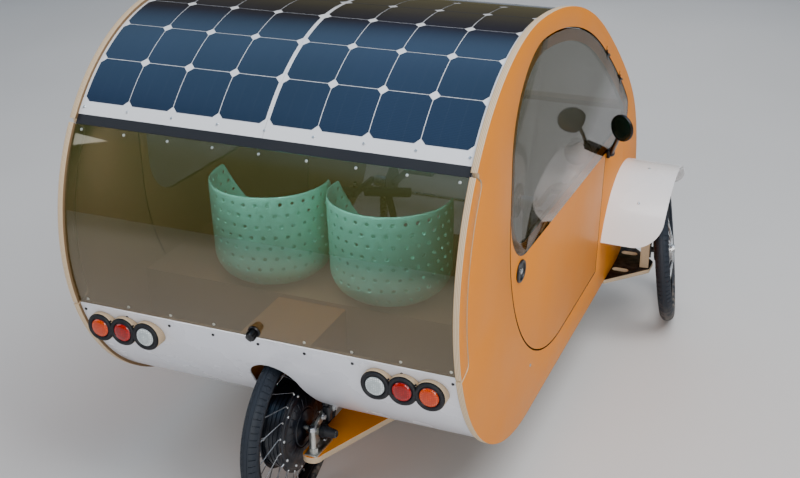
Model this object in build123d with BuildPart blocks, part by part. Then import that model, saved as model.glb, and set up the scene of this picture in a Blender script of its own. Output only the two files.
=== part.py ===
from build123d import *
from math import asin, atan2, cos, degrees, radians, sin, sqrt
import os

os.makedirs("parts", exist_ok=True)

# Two-seat solar tricycle with an egg-shaped cabin: flat plywood sides joined by curved skins.
# Millimetres. +Z is up, the front faces -Y, +X is the vehicle's left.
# The origin is on the ground, in the middle of the length and of the width.

# Wheels
wheelbase = 1444.0
tyre_radius = 250.0
tyre_tube = 23.5          # half the tyre's width
rim_outer = 212.0
rim_inner = 189.0
rim_well = 204.0          # the tyre sits on this radius
rim_half_width = 14.0
rim_flange = 2.5
spoke_radius = 1.3
spoke_lean = 20.0         # degrees round the hub between a spoke's two ends
spoke_gap = 0.3
camber = 7.6              # degrees the front wheels lean in at the top
steer_parked = 9.9        # degrees the front wheels are turned to the left

# Fender: a curved sheet over the inner half of each front wheel
fender_radius = 291.0
fender_sheet = 3.0
fender_width = 176.0
fender_front_angle = 27.0     # degrees above level where it ends, in front and behind
fender_rear_angle = 22.0
fender_corner = 95.0
fender_forward = 11.0     # its middle is this far ahead of the king pins
fender_lean = 2.3         # degrees its outer edge hangs lower
fender_turn = 2.1         # degrees its outer edge is further forward

# Overall length, which sets where the origin is
fender_middle_shift = fender_width / 2 * sin(radians(fender_turn))
fender_reach = (fender_forward - fender_middle_shift
                + (fender_radius + fender_sheet) * cos(radians(fender_front_angle)))
overall_length = fender_reach + wheelbase + tyre_radius
front_axle_y = fender_reach - overall_length / 2
rear_axle_y = front_axle_y + wheelbase
fender_y = front_axle_y - fender_forward

# Body side outline: a half circle at the rear, then arcs down to the nose, then a flat bottom
rear_radius = 555.0
centre_to_rear_axle = 378.0
centre_y = rear_axle_y - centre_to_rear_axle
bottom_z = 183.0
centre_z = bottom_z + rear_radius
top_z = centre_z + rear_radius
roof_arcs = ((1375.0, 30.0), (3300.0, 7.0), (1150.0, 9.0), (485.0, 44.0))  # radius, degrees turned

# Body widths and walls
inner_half_width = 519.0
panel_thickness = 16.0
outer_half_width = inner_half_width + panel_thickness
panel_proud = 8.0         # the sides stand this far out of the skins
skin_thickness = 4.0
belly_thickness = 8.0
skin_radius = rear_radius - panel_proud

# Skin seams, in degrees about the rear circle's centre, measured up from straight back
hatch_top_angle = 34.9
roof_rear_angle = 37.6
hatch_bottom_angle = -15.5
belly_rear_angle = -60.0
roof_front_angle = 142.2
screen_base_angle = 181.8
belly_front_angle = 207.5

# Clearances
seam = 5.0                # round a door and the hatch
hinge_seam = 0.5          # at the rubber hinge strip
roof_split = 1.0          # between the two roof panels
seat_gap = 0.3            # between pieces that only rest on each other
turn_gap = 0.05           # round a shaft in its bore
face_gap = 0.5            # between turning flat faces

# Doors
door_inset = 58.0         # in from the outline, along the top and the front
door_rear = 195.0         # behind the rear circle's centre
door_bottom_z = 283.0
door_bottom_radius = 525.0
door_top_radius = 235.0
door_tip_radius = 60.0
door_tip_heading = 42.0   # degrees below level where the front tip's curve starts
door_front_top = -790.0   # the lower front seam, from the rear circle's centre
door_front_bottom = -745.0
glass_thickness = 5.0
glass_tip_z = 675.0
glass_corner_z = 706.0
glass_corner_radius = 150.0
window_rim = 32.0
door_hinge_heading = 33.5
hinge_barrel = 3.0
hinge_pin = 1.4
hinge_stand_off = 3.2
hinge_barrel_length = 22.0
hinge_leaf = 14.0
hinge_leaf_thickness = 1.5
hinge_spacing = 240.0

handle_back = 105.0       # behind the rear circle's centre
handle_drop = 33.0        # below the glass's lower corner
handle_size = (34.0, 30.0)
handle_thickness = 6.0
handle_edge = 2.0
mirror_foot = (-816.0, -3.0)     # from the rear circle's centre, and above the glass's lower tip
mirror_reach = (62.0, 150.0, 142.0)
mirror_radius = 42.0
mirror_normal = (-0.55, 1.0, -0.05)
mirror_stalk = 8.0
mirror_block = 12.0
mirror_foot_size = (34.0, 24.0)
mirror_foot_corner = 6.0
mirror_edge = 3.0

# Hatch
strip_width = 48.0
strip_corner = 20.0
knob_angle = -13.4
knob_radius = 11.0
knob_length = 26.0
knob_edge = 3.0
knob_base = (34.0, 23.8)
knob_base_corner = 6.0
knob_base_height = 5.0

# Rear wheel opening and well
arch_radius = 68.0
arch_top_z = 490.0
arch_waist_z = 350.0
arch_waist = 80.0
arch_foot = 98.0
arch_foot_z = 250.0
well_half_width = 90.0
well_wall = 9.0
well_front_y = rear_axle_y - tyre_radius - 24.0
well_top_z = 540.0

# Tail lamps and headlamps
lamp_z = 532.0
lamp_face_y = 536.0       # the boards' flat fronts, behind the rear circle's centre
lamp_middle_x = inner_half_width - 131.0
lamp_spacing = 68.5
lamp_board_radius = 39.0
lens_radius = 25.0
lens_height = 7.0
lens_taper = 12
headlamp_x = 330.0
headlamp_z = 500.0
headlamp_radius = 45.0
headlamp_depth = 70.0
headlamp_proud = 14.0
headlamp_edge = 8.0

# Cabin
beam_depth = 20.0
beam_width = 28.0
rear_beams = (roof_rear_angle + 2.0, hatch_bottom_angle - 3.6)   # degrees about the rear circle
front_beams = (25.0, 51.0)    # degrees the roof slopes there
bench_board = 12.0
bench_top_z = well_top_z + bench_board + seat_gap     # its board lies over the wheel well
bench_front = -120.0      # from the rear circle's centre
bench_rear = 230.0
seat_x = 176.0
seat_y = 100.0            # from the rear circle's centre
seat_shell = 6.0
seat_foot_radius = 85.0
seat_curve_radius = 80.0
seat_top_radius = 168.0
seat_back_height = 285.0
seat_front_height = 105.0
seat_rim_end = -30.0      # the rim is level back from here, measured from the tub's middle
seat_rim_drop = 60.0
battery_size = (420.0, 96.0, 130.0)
battery_corner = 10.0
battery_y = -56.0

# Cranks, one set for each seat
crank_x = 265.0
crank_y = -850.0
crank_z = 450.0
crank_arm = 150.0
crank_axle = 8.0
crank_axle_out = 18.0     # past the shell
crank_arm_gap = 8.0       # from the shell to each arm
crank_shell = 20.0
crank_shell_half = 30.0
crank_post = 14.0
chainring_radius = 60.0
chainring_thickness = 4.0
chainring_gap = 1.0
arm_thickness = 10.0
arm_width = 22.0
pedal_size = (90.0, 64.0, 18.0)

# Steering: both front wheels turn about upright king pins between a lower and an upper board
kingpin_x = outer_half_width + 100.0
hub_offset = 66.0         # from the king pin out to the middle of the wheel
hub_z = tyre_tube + (tyre_radius - tyre_tube) * cos(radians(camber))
kingpin_radius = 6.0
kingpin_depth = 12.0
upright_size = (30.0, 60.0)
arm_board_thickness = 15.0
lower_board_half = 172.0
lower_board_inner_x = inner_half_width - 129.0
upper_board_z = 352.0
upper_board_thickness = 12.0
upper_board_half = 90.0
board_tip_x = kingpin_x + 25.0
board_tip_half = 34.0
board_tip_corner = 18.0
board_pad = 100.0         # a square pad up to the belly
board_pad_x = lower_board_inner_x + 60.0
board_pad_y = 100.0
board_slot = (56.0, 26.0)
board_slot_x = outer_half_width + 32.0
board_slot_y = 72.0
stub_radius = 10.0
stub_flange = 6.0
stub_flange_size = (40.0, 44.0)
brake_plate_radius = 38.0
brake_plate_x = -37.0     # from the middle of the wheel
brake_plate_thickness = 4.0
steering_arm_reach = 85.0
steering_arm_width = 18.0
steering_arm_thickness = 8.0
steering_arm_z = 296.0
steering_arm_end = 12.0   # past the tie rod
steering_arm_root = 10.0
tie_rod_radius = 6.5
tie_rod_hole = 14.0
tie_rod_y = front_axle_y - steering_arm_reach + 5.0
tie_rod_z = steering_arm_z - tie_rod_radius
tie_rod_shift = steering_arm_reach * sin(radians(steer_parked))
lever_y = -470.0
lever_z = 232.0
lever_eye = 16.0
lever_eye_half = 20.0
lever_sink = 3.0          # the tube goes this far into the eye
lever_lean = 0.22         # back per unit of height
lever_length = 385.0
lever_tube = 11.0
lever_cheek = 8.0
lever_cheek_width = 44.0
lever_cheek_rise = 18.0   # above the pin
grip_half = 75.0
grip_radius = lever_tube + 4.0
lever_parked = steer_parked * 0.6666

# Front hubs, measured from the middle of the wheel
hub_barrel = 40.0
flange_radius = 48.0
flange_half = 26.0
flange_thickness = 3.0
hub_cap_radius = 14.0
hub_cap_x = 34.0
hub_bore_end = 4.0        # past the outer flange
spoke_sink = 3.0
front_spokes = 16         # on each flange

# Rear wheel drive and swingarm
motor_radius = 115.0
motor_half = 32.0
motor_dish = 96.0         # inside this radius the covers rise to the bearing bosses
motor_boss = 30.0
motor_cover = 45.0
motor_flange_radius = 125.0
motor_flange_half = 27.0
motor_flange_thickness = 4.0
axle_radius = 7.0         # at the threaded ends
axle_shoulder = 8.0       # between the dropouts
rear_spokes = 18          # on each flange
swing_thickness = 18.0
swing_top_z = 182.0       # at its front end
swing_rise = 2.35         # degrees it slopes up to the rear
swing_inner = 50.0
swing_tip_y = 58.0        # behind the axle
swing_tip_half = 27.0
swing_spread = 225.0
swing_pad = (60.0, 50.0)
swing_pad_x = swing_spread - 40.0
swing_pad_back = 30.0     # behind the board's front edge
dropout_x = 62.0
dropout_thickness = 8.0
dropout_half = 22.0
axle_end = 124.0
axle_nut_radius = 13.0
axle_nut_height = 18.0
axle_cap_radius = 16.0
axle_cap_length = 44.0
axle_cap_taper = 8
dropout_foot = 5.0
dropout_foot_size = (36.0, 96.0)
dropout_foot_shift = 5.0
stud_out = 18.0           # out from the dropout
stud_y = 36.0             # behind the axle
stud_radius = 8.0
stud_nut_radius = 13.0
stud_nut_height = 14.0
stud_top_z = 272.0
strut_width = 22.0
strut_thickness = 8.0
strut_reach = 35.0
strut_rise = 26.0


def along_rear(angle, radius):
    """A point of the side view (y, z), at an angle about the rear circle's centre."""
    return (centre_y + radius * cos(radians(angle)), centre_z + radius * sin(radians(angle)))


def roof_point(heading, inset):
    """The point of the roof outline where it slopes down to the front by this many degrees."""
    y, z, turned = centre_y, top_z, 0.0
    for radius, turn in roof_arcs:
        last = min(turned + turn, heading)
        y -= radius * (sin(radians(last)) - sin(radians(turned)))
        z -= radius * (cos(radians(turned)) - cos(radians(last)))
        turned = last
    return (y + inset * sin(radians(heading)), z - inset * cos(radians(heading)))


nose_radius = roof_point(90.0, 0.0)[1] - bottom_z
nose_y = roof_point(90.0, 0.0)[0]


def body_face(inset):
    """The body's side view, with its edge moved inwards."""
    with BuildSketch() as side:
        with BuildLine():
            arc = JernArc(start=(centre_y, top_z - inset), tangent=(-1, 0),
                          radius=roof_arcs[0][0] - inset, arc_size=roof_arcs[0][1])
            for radius, turn in roof_arcs[1:]:
                arc = JernArc(start=arc @ 1, tangent=arc % 1, radius=radius - inset, arc_size=turn)
            nose = JernArc(start=arc @ 1, tangent=arc % 1, radius=nose_radius - inset, arc_size=90)
            Line(nose @ 1, (centre_y, bottom_z + inset))
            CenterArc((centre_y, centre_z), rear_radius - inset, -90, 180)
        make_face()
    return side.sketch


def sector(start, end):
    """The wedge of the side view between two angles about the rear circle's centre."""
    reach = 4000.0
    with BuildSketch() as wedge:
        with BuildLine():
            Polyline(along_rear(start, 0), along_rear(start, reach), along_rear(end, reach), close=True)
        make_face()
    return wedge.sketch


def skin_face(start, end, thickness):
    """The section of a curved sheet that runs between the side panels."""
    with BuildSketch() as strip:
        add(body_face(panel_proud))
        add(body_face(panel_proud + thickness), mode=Mode.SUBTRACT)
        add(sector(start, end), mode=Mode.INTERSECT)
    return strip.sketch


def save(part, name):
    part.label = name
    export_step(part, "parts/" + name + ".step")


def save_pair(part, name, place=None):
    """Write the left piece and its mirror image on the right, each put in its place."""
    with BuildPart() as other:
        mirror(part, about=Plane.YZ)
    for piece, side, hand in ((part, 1, "_left"), (other.part, -1, "_right")):
        save(piece.moved(place(side)) if place else piece, name + hand)


def knuckle_place(side):
    """From a drawing about the king pin, wheels straight, to the parked place."""
    return Location((side * kingpin_x, front_axle_y, 0), (0, 0, steer_parked))


def wheel_place(side):
    """From a drawing about the wheel's middle, axle along X, to the parked place."""
    return knuckle_place(side) * Location((side * hub_offset, 0, hub_z), (0, -side * camber, 0))


# Door and glass outlines
tip_centre_y, tip_centre_z = roof_point(door_tip_heading, door_inset + door_tip_radius)
glass_slope = degrees(atan2(glass_corner_z - glass_tip_z, door_rear + centre_y - tip_centre_y))
top_arc_radius = roof_arcs[0][0] - door_inset
top_arc_z = top_z - roof_arcs[0][0]
top_corner_y = centre_y + door_rear - door_top_radius
top_corner_z = top_arc_z + sqrt((top_arc_radius - door_top_radius) ** 2 - (top_corner_y - centre_y) ** 2)
top_corner_turn = 90.0 - degrees(asin((top_corner_y - centre_y) / (top_arc_radius - door_top_radius)))


def upper_door_edge():
    """The arcs from the rear edge over the top to the end of the front tip."""
    with BuildLine() as edge:
        arc = JernArc(start=(centre_y + door_rear, top_corner_z), tangent=(0, 1),
                      radius=door_top_radius, arc_size=top_corner_turn)
        turned = top_corner_turn - 90.0
        bound = 0.0
        for radius, turn in roof_arcs[:3]:
            bound = min(bound + turn, door_tip_heading)
            arc = JernArc(start=arc @ 1, tangent=arc % 1, radius=radius - door_inset,
                          arc_size=bound - turned)
            turned = bound
        JernArc(start=arc @ 1, tangent=arc % 1, radius=door_tip_radius,
                arc_size=180.0 - turned + glass_slope)
    return edge.edges()


def door_face(grow):
    """The whole door: the glass and the panel below it."""
    rear = centre_y + door_rear
    with BuildSketch() as whole:
        with BuildLine():
            top = upper_door_edge()
            add(top)
            tip = top[-1]
            slope = Line(tip @ 1, tip @ 1 + (tip % 1) * (centre_y + door_front_top - (tip @ 1).X))
            front = Line(slope @ 1, (centre_y + door_front_bottom, door_bottom_z))
            sole = Line(front @ 1, (rear - door_bottom_radius, door_bottom_z))
            heel = JernArc(start=sole @ 1, tangent=(1, 0), radius=door_bottom_radius, arc_size=90)
            Line(heel @ 1, (rear, top_corner_z))
        make_face()
        if grow:
            offset(amount=grow, kind=Kind.ARC, mode=Mode.REPLACE)
    return whole.sketch


def glass_face(inset):
    """The door's glass, with its edge moved inwards."""
    rear = centre_y + door_rear
    with BuildSketch() as pane:
        with BuildLine():
            top = upper_door_edge()
            add(top)
            tip = top[-1]
            Line(tip @ 1, (rear, glass_corner_z))
            Line((rear, glass_corner_z), (rear, top_corner_z))
        make_face()
        corner = pane.vertices().sort_by_distance((rear, glass_corner_z, 0))[0]
        fillet(corner, glass_corner_radius)
        if inset:
            offset(amount=-inset, kind=Kind.ARC, mode=Mode.REPLACE)
    return pane.sketch


# Hinges. The hatch turns about the rubber strip's lower edge; each door about its front edge.
hatch_hinge_angle = hatch_top_angle
hatch_axis = along_rear(hatch_hinge_angle, skin_radius)
door_axis = roof_point(door_hinge_heading, door_inset - seam / 2)
hinge_direction = (0.0, -cos(radians(door_hinge_heading)), -sin(radians(door_hinge_heading)))
hinge_into_door = (0.0, sin(radians(door_hinge_heading)), -cos(radians(door_hinge_heading)))


def hinge_plane(along):
    """A plane across the door's hinge line: its x runs into the door, its y inwards."""
    start = (outer_half_width + hinge_stand_off,
             door_axis[0] + along * hinge_direction[1], door_axis[1] + along * hinge_direction[2])
    return Plane(origin=start, x_dir=hinge_into_door, z_dir=hinge_direction)


def hinge_half(along, direction, bored):
    """One barrel of a door hinge with its leaf, on the door or on the side panel."""
    plane = hinge_plane(along)
    inward = 1 if plane.y_dir.X < 0 else -1
    with BuildPart() as half:
        with BuildSketch(plane):
            Circle(hinge_barrel)
            with Locations((direction * hinge_leaf / 2, inward * (hinge_stand_off - hinge_leaf_thickness / 2))):
                Rectangle(hinge_leaf, hinge_leaf_thickness)
        extrude(amount=hinge_barrel_length)
        if bored:
            with BuildSketch(plane):
                Circle(hinge_pin + turn_gap)
            extrude(amount=hinge_barrel_length, mode=Mode.SUBTRACT)
    return half.part


def hatch_strip_face(grow):
    """The hatch's plywood side strip: the rear edge of the side, between two angles."""
    margin = degrees(grow / rear_radius)
    with BuildSketch() as strip:
        with Locations(along_rear(0, 0)):
            Circle(rear_radius + grow)
            Circle(rear_radius - strip_width - grow, mode=Mode.SUBTRACT)
        add(sector(hatch_bottom_angle - margin, hatch_top_angle + margin), mode=Mode.INTERSECT)
        inner = strip.vertices().sort_by_distance((centre_y, centre_z, 0))[:2]
        fillet(inner, strip_corner)
    return strip.sketch


skin_side = Plane.YZ.offset(-inner_half_width)

with BuildPart() as side_panel:
    with BuildSketch(Plane.YZ.offset(inner_half_width)):
        add(body_face(0))
        add(door_face(seam), mode=Mode.SUBTRACT)
        add(hatch_strip_face(seam), mode=Mode.SUBTRACT)
        with Locations(hatch_axis):
            Circle(panel_proud + seam, mode=Mode.SUBTRACT)
        with Locations((tie_rod_y, tie_rod_z)):
            Circle(tie_rod_hole, mode=Mode.SUBTRACT)
    extrude(amount=panel_thickness)
    for along in (-hinge_spacing / 2, hinge_spacing / 2):
        add(hinge_half(along - hinge_barrel_length - face_gap / 2, -1, False))
        with BuildSketch(hinge_plane(along - face_gap / 2)):
            Circle(hinge_pin)
        extrude(amount=hinge_barrel_length)
save_pair(side_panel.part, "side_panel")

with BuildPart() as belly:
    with BuildSketch(skin_side):
        add(skin_face(belly_front_angle, 360.0 + belly_rear_angle, belly_thickness))
    extrude(amount=2 * inner_half_width)
    with BuildSketch(Plane.XY):
        with Locations((0, well_front_y)):
            Rectangle(2 * well_half_width, 3 * rear_radius, align=(Align.CENTER, Align.MIN))
    extrude(amount=centre_z, mode=Mode.SUBTRACT)
save(belly.part, "belly_panel")

with BuildPart() as nose:
    with BuildSketch(skin_side):
        add(skin_face(screen_base_angle, belly_front_angle, skin_thickness))
    extrude(amount=2 * inner_half_width)
    with BuildSketch(Plane.XZ.offset(-nose_y)):
        with Locations((-headlamp_x, headlamp_z), (headlamp_x, headlamp_z)):
            Circle(headlamp_radius + face_gap)
    extrude(amount=rear_radius, both=True, mode=Mode.SUBTRACT)
save(nose.part, "nose_panel")

with BuildPart() as windscreen:
    with BuildSketch(skin_side):
        add(skin_face(roof_front_angle, screen_base_angle, skin_thickness))
    extrude(amount=2 * inner_half_width)
save(windscreen.part, "windscreen")

with BuildPart() as roof:
    with BuildSketch(Plane.YZ.offset(roof_split / 2)):
        add(skin_face(roof_rear_angle, roof_front_angle, skin_thickness))
    extrude(amount=inner_half_width - roof_split / 2)
save_pair(roof.part, "solar_roof")

with BuildPart() as hinge_strip:
    with BuildSketch(skin_side):
        add(skin_face(hatch_top_angle, roof_rear_angle, skin_thickness))
    extrude(amount=2 * inner_half_width)
save(hinge_strip.part, "hinge_strip")

with BuildPart() as skirt:
    with BuildSketch(skin_side):
        add(skin_face(belly_rear_angle, hatch_bottom_angle - degrees(seam / skin_radius), skin_thickness))
    extrude(amount=2 * inner_half_width)
    with BuildSketch(Plane.XZ.offset(-rear_axle_y)):
        with BuildLine():
            Polyline((arch_radius, arch_top_z - arch_radius), (arch_waist, arch_waist_z),
                     (arch_foot, arch_foot_z), (arch_foot, bottom_z), (-arch_foot, bottom_z),
                     (-arch_foot, arch_foot_z), (-arch_waist, arch_waist_z),
                     (-arch_radius, arch_top_z - arch_radius))
            CenterArc((0, arch_top_z - arch_radius), arch_radius, 0, 180)
        make_face()
    extrude(amount=rear_radius, both=True, mode=Mode.SUBTRACT)
save(skirt.part, "rear_skirt")

with BuildPart() as well:
    inner_skin = panel_proud + belly_thickness + seat_gap
    for half, front, top, how in (
            (well_half_width + well_wall, well_front_y - well_wall, well_top_z, Mode.ADD),
            (well_half_width, well_front_y, well_top_z - well_wall, Mode.SUBTRACT)):
        with BuildSketch(Plane.YZ.offset(-half)):
            with Locations((front, bottom_z)):
                Rectangle(rear_radius, top - bottom_z, align=(Align.MIN, Align.MIN))
            if how == Mode.ADD:
                add(body_face(inner_skin), mode=Mode.INTERSECT)
        extrude(amount=2 * half, mode=how)
save(well.part, "wheel_well")

with BuildPart() as frame:
    beam_radius = skin_radius - skin_thickness - face_gap - beam_depth / 2
    for angle in rear_beams:
        with BuildSketch(Plane.YZ.offset(-inner_half_width)):
            with Locations(Location((*along_rear(angle, beam_radius), 0), angle)):
                Rectangle(beam_depth, beam_width)
        extrude(amount=2 * inner_half_width)
    front_inset = panel_proud + skin_thickness + face_gap + beam_depth / 2
    for heading in front_beams:
        with BuildSketch(Plane.YZ.offset(-inner_half_width)):
            with Locations(Location((*roof_point(heading, front_inset), 0), 90.0 + heading)):
                Rectangle(beam_depth, beam_width)
        extrude(amount=2 * inner_half_width)
save(frame.part, "cross_beams")

belly_top_z = bottom_z + panel_proud + belly_thickness

with BuildPart() as bench:
    with BuildSketch(Plane.YZ.offset(-inner_half_width)):
        with BuildLine():
            Polyline((centre_y + bench_front, belly_top_z), (centre_y + bench_front, bench_top_z),
                     (centre_y + bench_rear, bench_top_z), (centre_y + bench_rear, belly_top_z),
                     (centre_y + bench_rear - bench_board, belly_top_z),
                     (centre_y + bench_rear - bench_board, bench_top_z - bench_board),
                     (centre_y + bench_front + bench_board, bench_top_z - bench_board),
                     (centre_y + bench_front + bench_board, belly_top_z), close=True)
        make_face()
        add(body_face(panel_proud + belly_thickness), mode=Mode.INTERSECT)
    extrude(amount=2 * inner_half_width)
    with BuildSketch(Plane.XZ.offset(-centre_y)):
        with Locations((0, bottom_z)):
            Rectangle(2 * (well_half_width + well_wall + seat_gap), well_top_z + seat_gap - bottom_z,
                      align=(Align.CENTER, Align.MIN))
    extrude(amount=-rear_radius, mode=Mode.SUBTRACT)
save(bench.part, "seat_base")


def seat_section(inset):
    """Half of the seat tub's section (radius, height above the bench)."""
    with BuildSketch() as half:
        with BuildLine():
            foot = Line((0, inset), (seat_foot_radius, inset))
            curve = JernArc(start=foot @ 1, tangent=(1, 0), radius=seat_curve_radius - inset, arc_size=80)
            wall = Line(curve @ 1, (seat_top_radius - inset, seat_back_height + seat_shell))
            Polyline(wall @ 1, (0, seat_back_height + seat_shell), (0, inset))
        make_face()
    return half.sketch


with BuildPart() as seat:
    seat_plane = Plane(origin=(seat_x, centre_y + seat_y, bench_top_z), x_dir=(1, 0, 0), z_dir=(0, -1, 0))
    with BuildSketch(seat_plane):
        add(seat_section(0))
    revolve(axis=Axis(seat_plane.origin, (0, 0, 1)))
    with BuildSketch(seat_plane):
        add(seat_section(seat_shell))
    revolve(axis=Axis(seat_plane.origin, (0, 0, 1)), mode=Mode.SUBTRACT)
    with BuildSketch(Plane.YZ.offset(seat_x)):
        with BuildLine():
            back = centre_y + seat_y + seat_top_radius
            front = centre_y + seat_y - seat_top_radius
            rim_end = centre_y + seat_y + seat_rim_end
            Polyline((back, bench_top_z + seat_back_height),
                     (rim_end, bench_top_z + seat_back_height - seat_shell),
                     (rim_end - seat_rim_drop, bench_top_z + seat_front_height + seat_rim_drop),
                     (front, bench_top_z + seat_front_height),
                     (front - rear_radius, bench_top_z + seat_front_height),
                     (front - rear_radius, top_z), (back, top_z), close=True)
        make_face()
    extrude(amount=seat_top_radius, both=True, mode=Mode.SUBTRACT)
save_pair(seat.part, "seat")

with BuildPart() as battery:
    with BuildSketch(Plane.XY.offset(belly_top_z)):
        with Locations((0, centre_y + battery_y)):
            RectangleRounded(battery_size[0], battery_size[1], battery_corner)
    extrude(amount=battery_size[2])
save(battery.part, "battery_block")

# Hatch: tinted skin with a plywood strip at each side, latched at the middle of its lower edge
with BuildPart() as hatch_window:
    with BuildSketch(skin_side):
        add(skin_face(hatch_bottom_angle, hatch_top_angle - degrees(hinge_seam / skin_radius), skin_thickness))
    extrude(amount=2 * inner_half_width)
save(hatch_window.part, "hatch_window")

with BuildPart() as strips:
    for x in (inner_half_width, -outer_half_width):
        with BuildSketch(Plane.YZ.offset(x)):
            add(hatch_strip_face(0))
        extrude(amount=panel_thickness)
save(strips.part, "hatch_side_strips")

with BuildPart() as knob:
    knob_spot = along_rear(knob_angle, skin_radius + face_gap)
    outward = (0.0, cos(radians(knob_angle)), sin(radians(knob_angle)))
    knob_plane = Plane(origin=(0, *knob_spot), x_dir=(1, 0, 0), z_dir=outward)
    with BuildSketch(knob_plane):
        RectangleRounded(*knob_base, knob_base_corner)
    extrude(amount=knob_base_height)
    with BuildSketch(knob_plane):
        Circle(knob_radius)
    extrude(amount=knob_length)
    fillet(knob.faces().sort_by(Axis.Y)[-1].edges(), knob_edge)
save(knob.part, "hatch_knob")

# Doors
with BuildPart() as door_panel:
    with BuildSketch(Plane.YZ.offset(inner_half_width)):
        add(door_face(0))
        add(glass_face(window_rim), mode=Mode.SUBTRACT)
    extrude(amount=panel_thickness)
    with BuildSketch(Plane.YZ.offset(outer_half_width - glass_thickness)):
        add(glass_face(0))
    extrude(amount=glass_thickness, mode=Mode.SUBTRACT)
save_pair(door_panel.part, "door_panel")

with BuildPart() as door_glass:
    with BuildSketch(Plane.YZ.offset(outer_half_width - glass_thickness)):
        add(glass_face(0))
    extrude(amount=glass_thickness)
    for along in (-hinge_spacing / 2, hinge_spacing / 2):
        add(hinge_half(along + face_gap / 2, 1, True))
save_pair(door_glass.part, "door_glass")

with BuildPart() as handle:
    with BuildSketch(Plane.YZ.offset(outer_half_width)):
        with Locations((centre_y + handle_back, glass_corner_z - handle_drop)):
            Ellipse(*handle_size)
    extrude(amount=handle_thickness)
    fillet(handle.faces().sort_by(Axis.X)[-1].edges(), handle_edge)
save_pair(handle.part, "door_handle")

with BuildPart() as door_mirror:
    foot = (outer_half_width + mirror_block, centre_y + mirror_foot[0], glass_tip_z + mirror_foot[1])
    with BuildSketch(Plane.YZ.offset(outer_half_width)):
        with Locations((foot[1], foot[2])):
            RectangleRounded(*mirror_foot_size, mirror_foot_corner)
    extrude(amount=mirror_block)
    stalk = Vector(*mirror_reach)
    with BuildSketch(Plane(origin=foot, z_dir=stalk)):
        Circle(mirror_stalk)
    extrude(amount=stalk.length)
    head_plane = Plane(origin=Vector(*foot) + stalk, x_dir=(0, 0, 1), z_dir=mirror_normal)
    with BuildSketch(head_plane.offset(-mirror_block / 2)):
        Circle(mirror_radius)
    extrude(amount=mirror_block)
    fillet(door_mirror.edges().filter_by(GeomType.CIRCLE).group_by(SortBy.RADIUS)[-1], mirror_edge)
save_pair(door_mirror.part, "door_mirror")

# Tail lamps: on each side of the skirt a plywood board, fitted to its curve, with three round lenses
lamp_face = Plane(origin=(0, centre_y + lamp_face_y, lamp_z), x_dir=(-1, 0, 0), z_dir=(0, 1, 0))

with BuildPart() as lamp_boards:
    for side in (-1, 1):
        with BuildSketch(lamp_face):
            with Locations(*((side * (lamp_middle_x + step * lamp_spacing), 0) for step in (-1, 0, 1))):
                Circle(lamp_board_radius)
        extrude(amount=-rear_radius / 4)
    with BuildSketch(skin_side):
        add(body_face(panel_proud - seat_gap))
    extrude(amount=2 * inner_half_width, mode=Mode.SUBTRACT)
save(lamp_boards.part, "tail_lamp_boards")

for colour, step in (("clear", -1), ("red", 0), ("amber", 1)):
    with BuildPart() as lens:
        lens_x = lamp_middle_x + step * lamp_spacing
        with BuildSketch(lamp_face):
            with Locations((-lens_x, 0), (lens_x, 0)):
                Circle(lens_radius)
        extrude(amount=lens_height, taper=lens_taper)
    save(lens.part, "tail_lens_" + colour)

with BuildPart() as headlamps:
    lamp_front_y = nose_y + panel_proud - headlamp_proud
    with BuildSketch(Plane.XZ.offset(-lamp_front_y)):
        with Locations((-headlamp_x, headlamp_z), (headlamp_x, headlamp_z)):
            Circle(headlamp_radius)
    extrude(amount=-headlamp_depth)
    fillet(headlamps.faces().group_by(Axis.Y)[0].edges(), headlamp_edge)
save(headlamps.part, "headlamps")

# Front fenders, fixed to the body sides. Each is drawn about the axle line, then leaned, turned and cut.
with BuildPart() as fender:
    fender_inner_x = outer_half_width - (kingpin_x + hub_offset)
    fender_outer_x = fender_inner_x + fender_width
    with BuildSketch(Plane.YZ.offset(fender_inner_x - fender_corner)):
        sweep_angle = 180.0 - fender_front_angle - fender_rear_angle
        with BuildLine():
            outer_arc = CenterArc((0, 0), fender_radius + fender_sheet, fender_rear_angle, sweep_angle)
            inner_arc = CenterArc((0, 0), fender_radius, fender_rear_angle, sweep_angle)
            Line(outer_arc @ 0, inner_arc @ 0)
            Line(outer_arc @ 1, inner_arc @ 1)
        make_face()
    extrude(amount=fender_width + fender_corner)
    for angle, inward in ((fender_rear_angle, -1), (180.0 - fender_front_angle, 1)):
        along = (0, cos(radians(angle)), sin(radians(angle)))
        end = Plane(origin=Vector(fender_outer_x, 0, 0) + Vector(*along) * fender_radius,
                    x_dir=(1, 0, 0), z_dir=along)
        with BuildSketch(end):
            middle = fender_corner / 2 - seam
            with Locations((-middle, inward * middle)):
                Rectangle(fender_corner + 2 * seam, fender_corner + 2 * seam)
            with Locations((-fender_corner, inward * fender_corner)):
                Circle(fender_corner, mode=Mode.SUBTRACT)
                Rectangle(2 * fender_corner, 2 * seam, mode=Mode.SUBTRACT)
                Rectangle(2 * seam, 2 * fender_corner, mode=Mode.SUBTRACT)
        extrude(amount=fender_corner / 2, both=True, mode=Mode.SUBTRACT)
fender_spot = Location((kingpin_x + hub_offset, fender_y, hub_z), (0, fender_lean, -fender_turn))
with BuildPart() as placed_fender:
    add(fender.part.moved(fender_spot))
    with BuildSketch(Plane.YZ.offset(outer_half_width)):
        with Locations((fender_y, hub_z)):
            Rectangle(4 * fender_radius, 4 * fender_radius)
    extrude(amount=-2 * fender_corner, mode=Mode.SUBTRACT)
save_pair(placed_fender.part, "front_fender")

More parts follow.
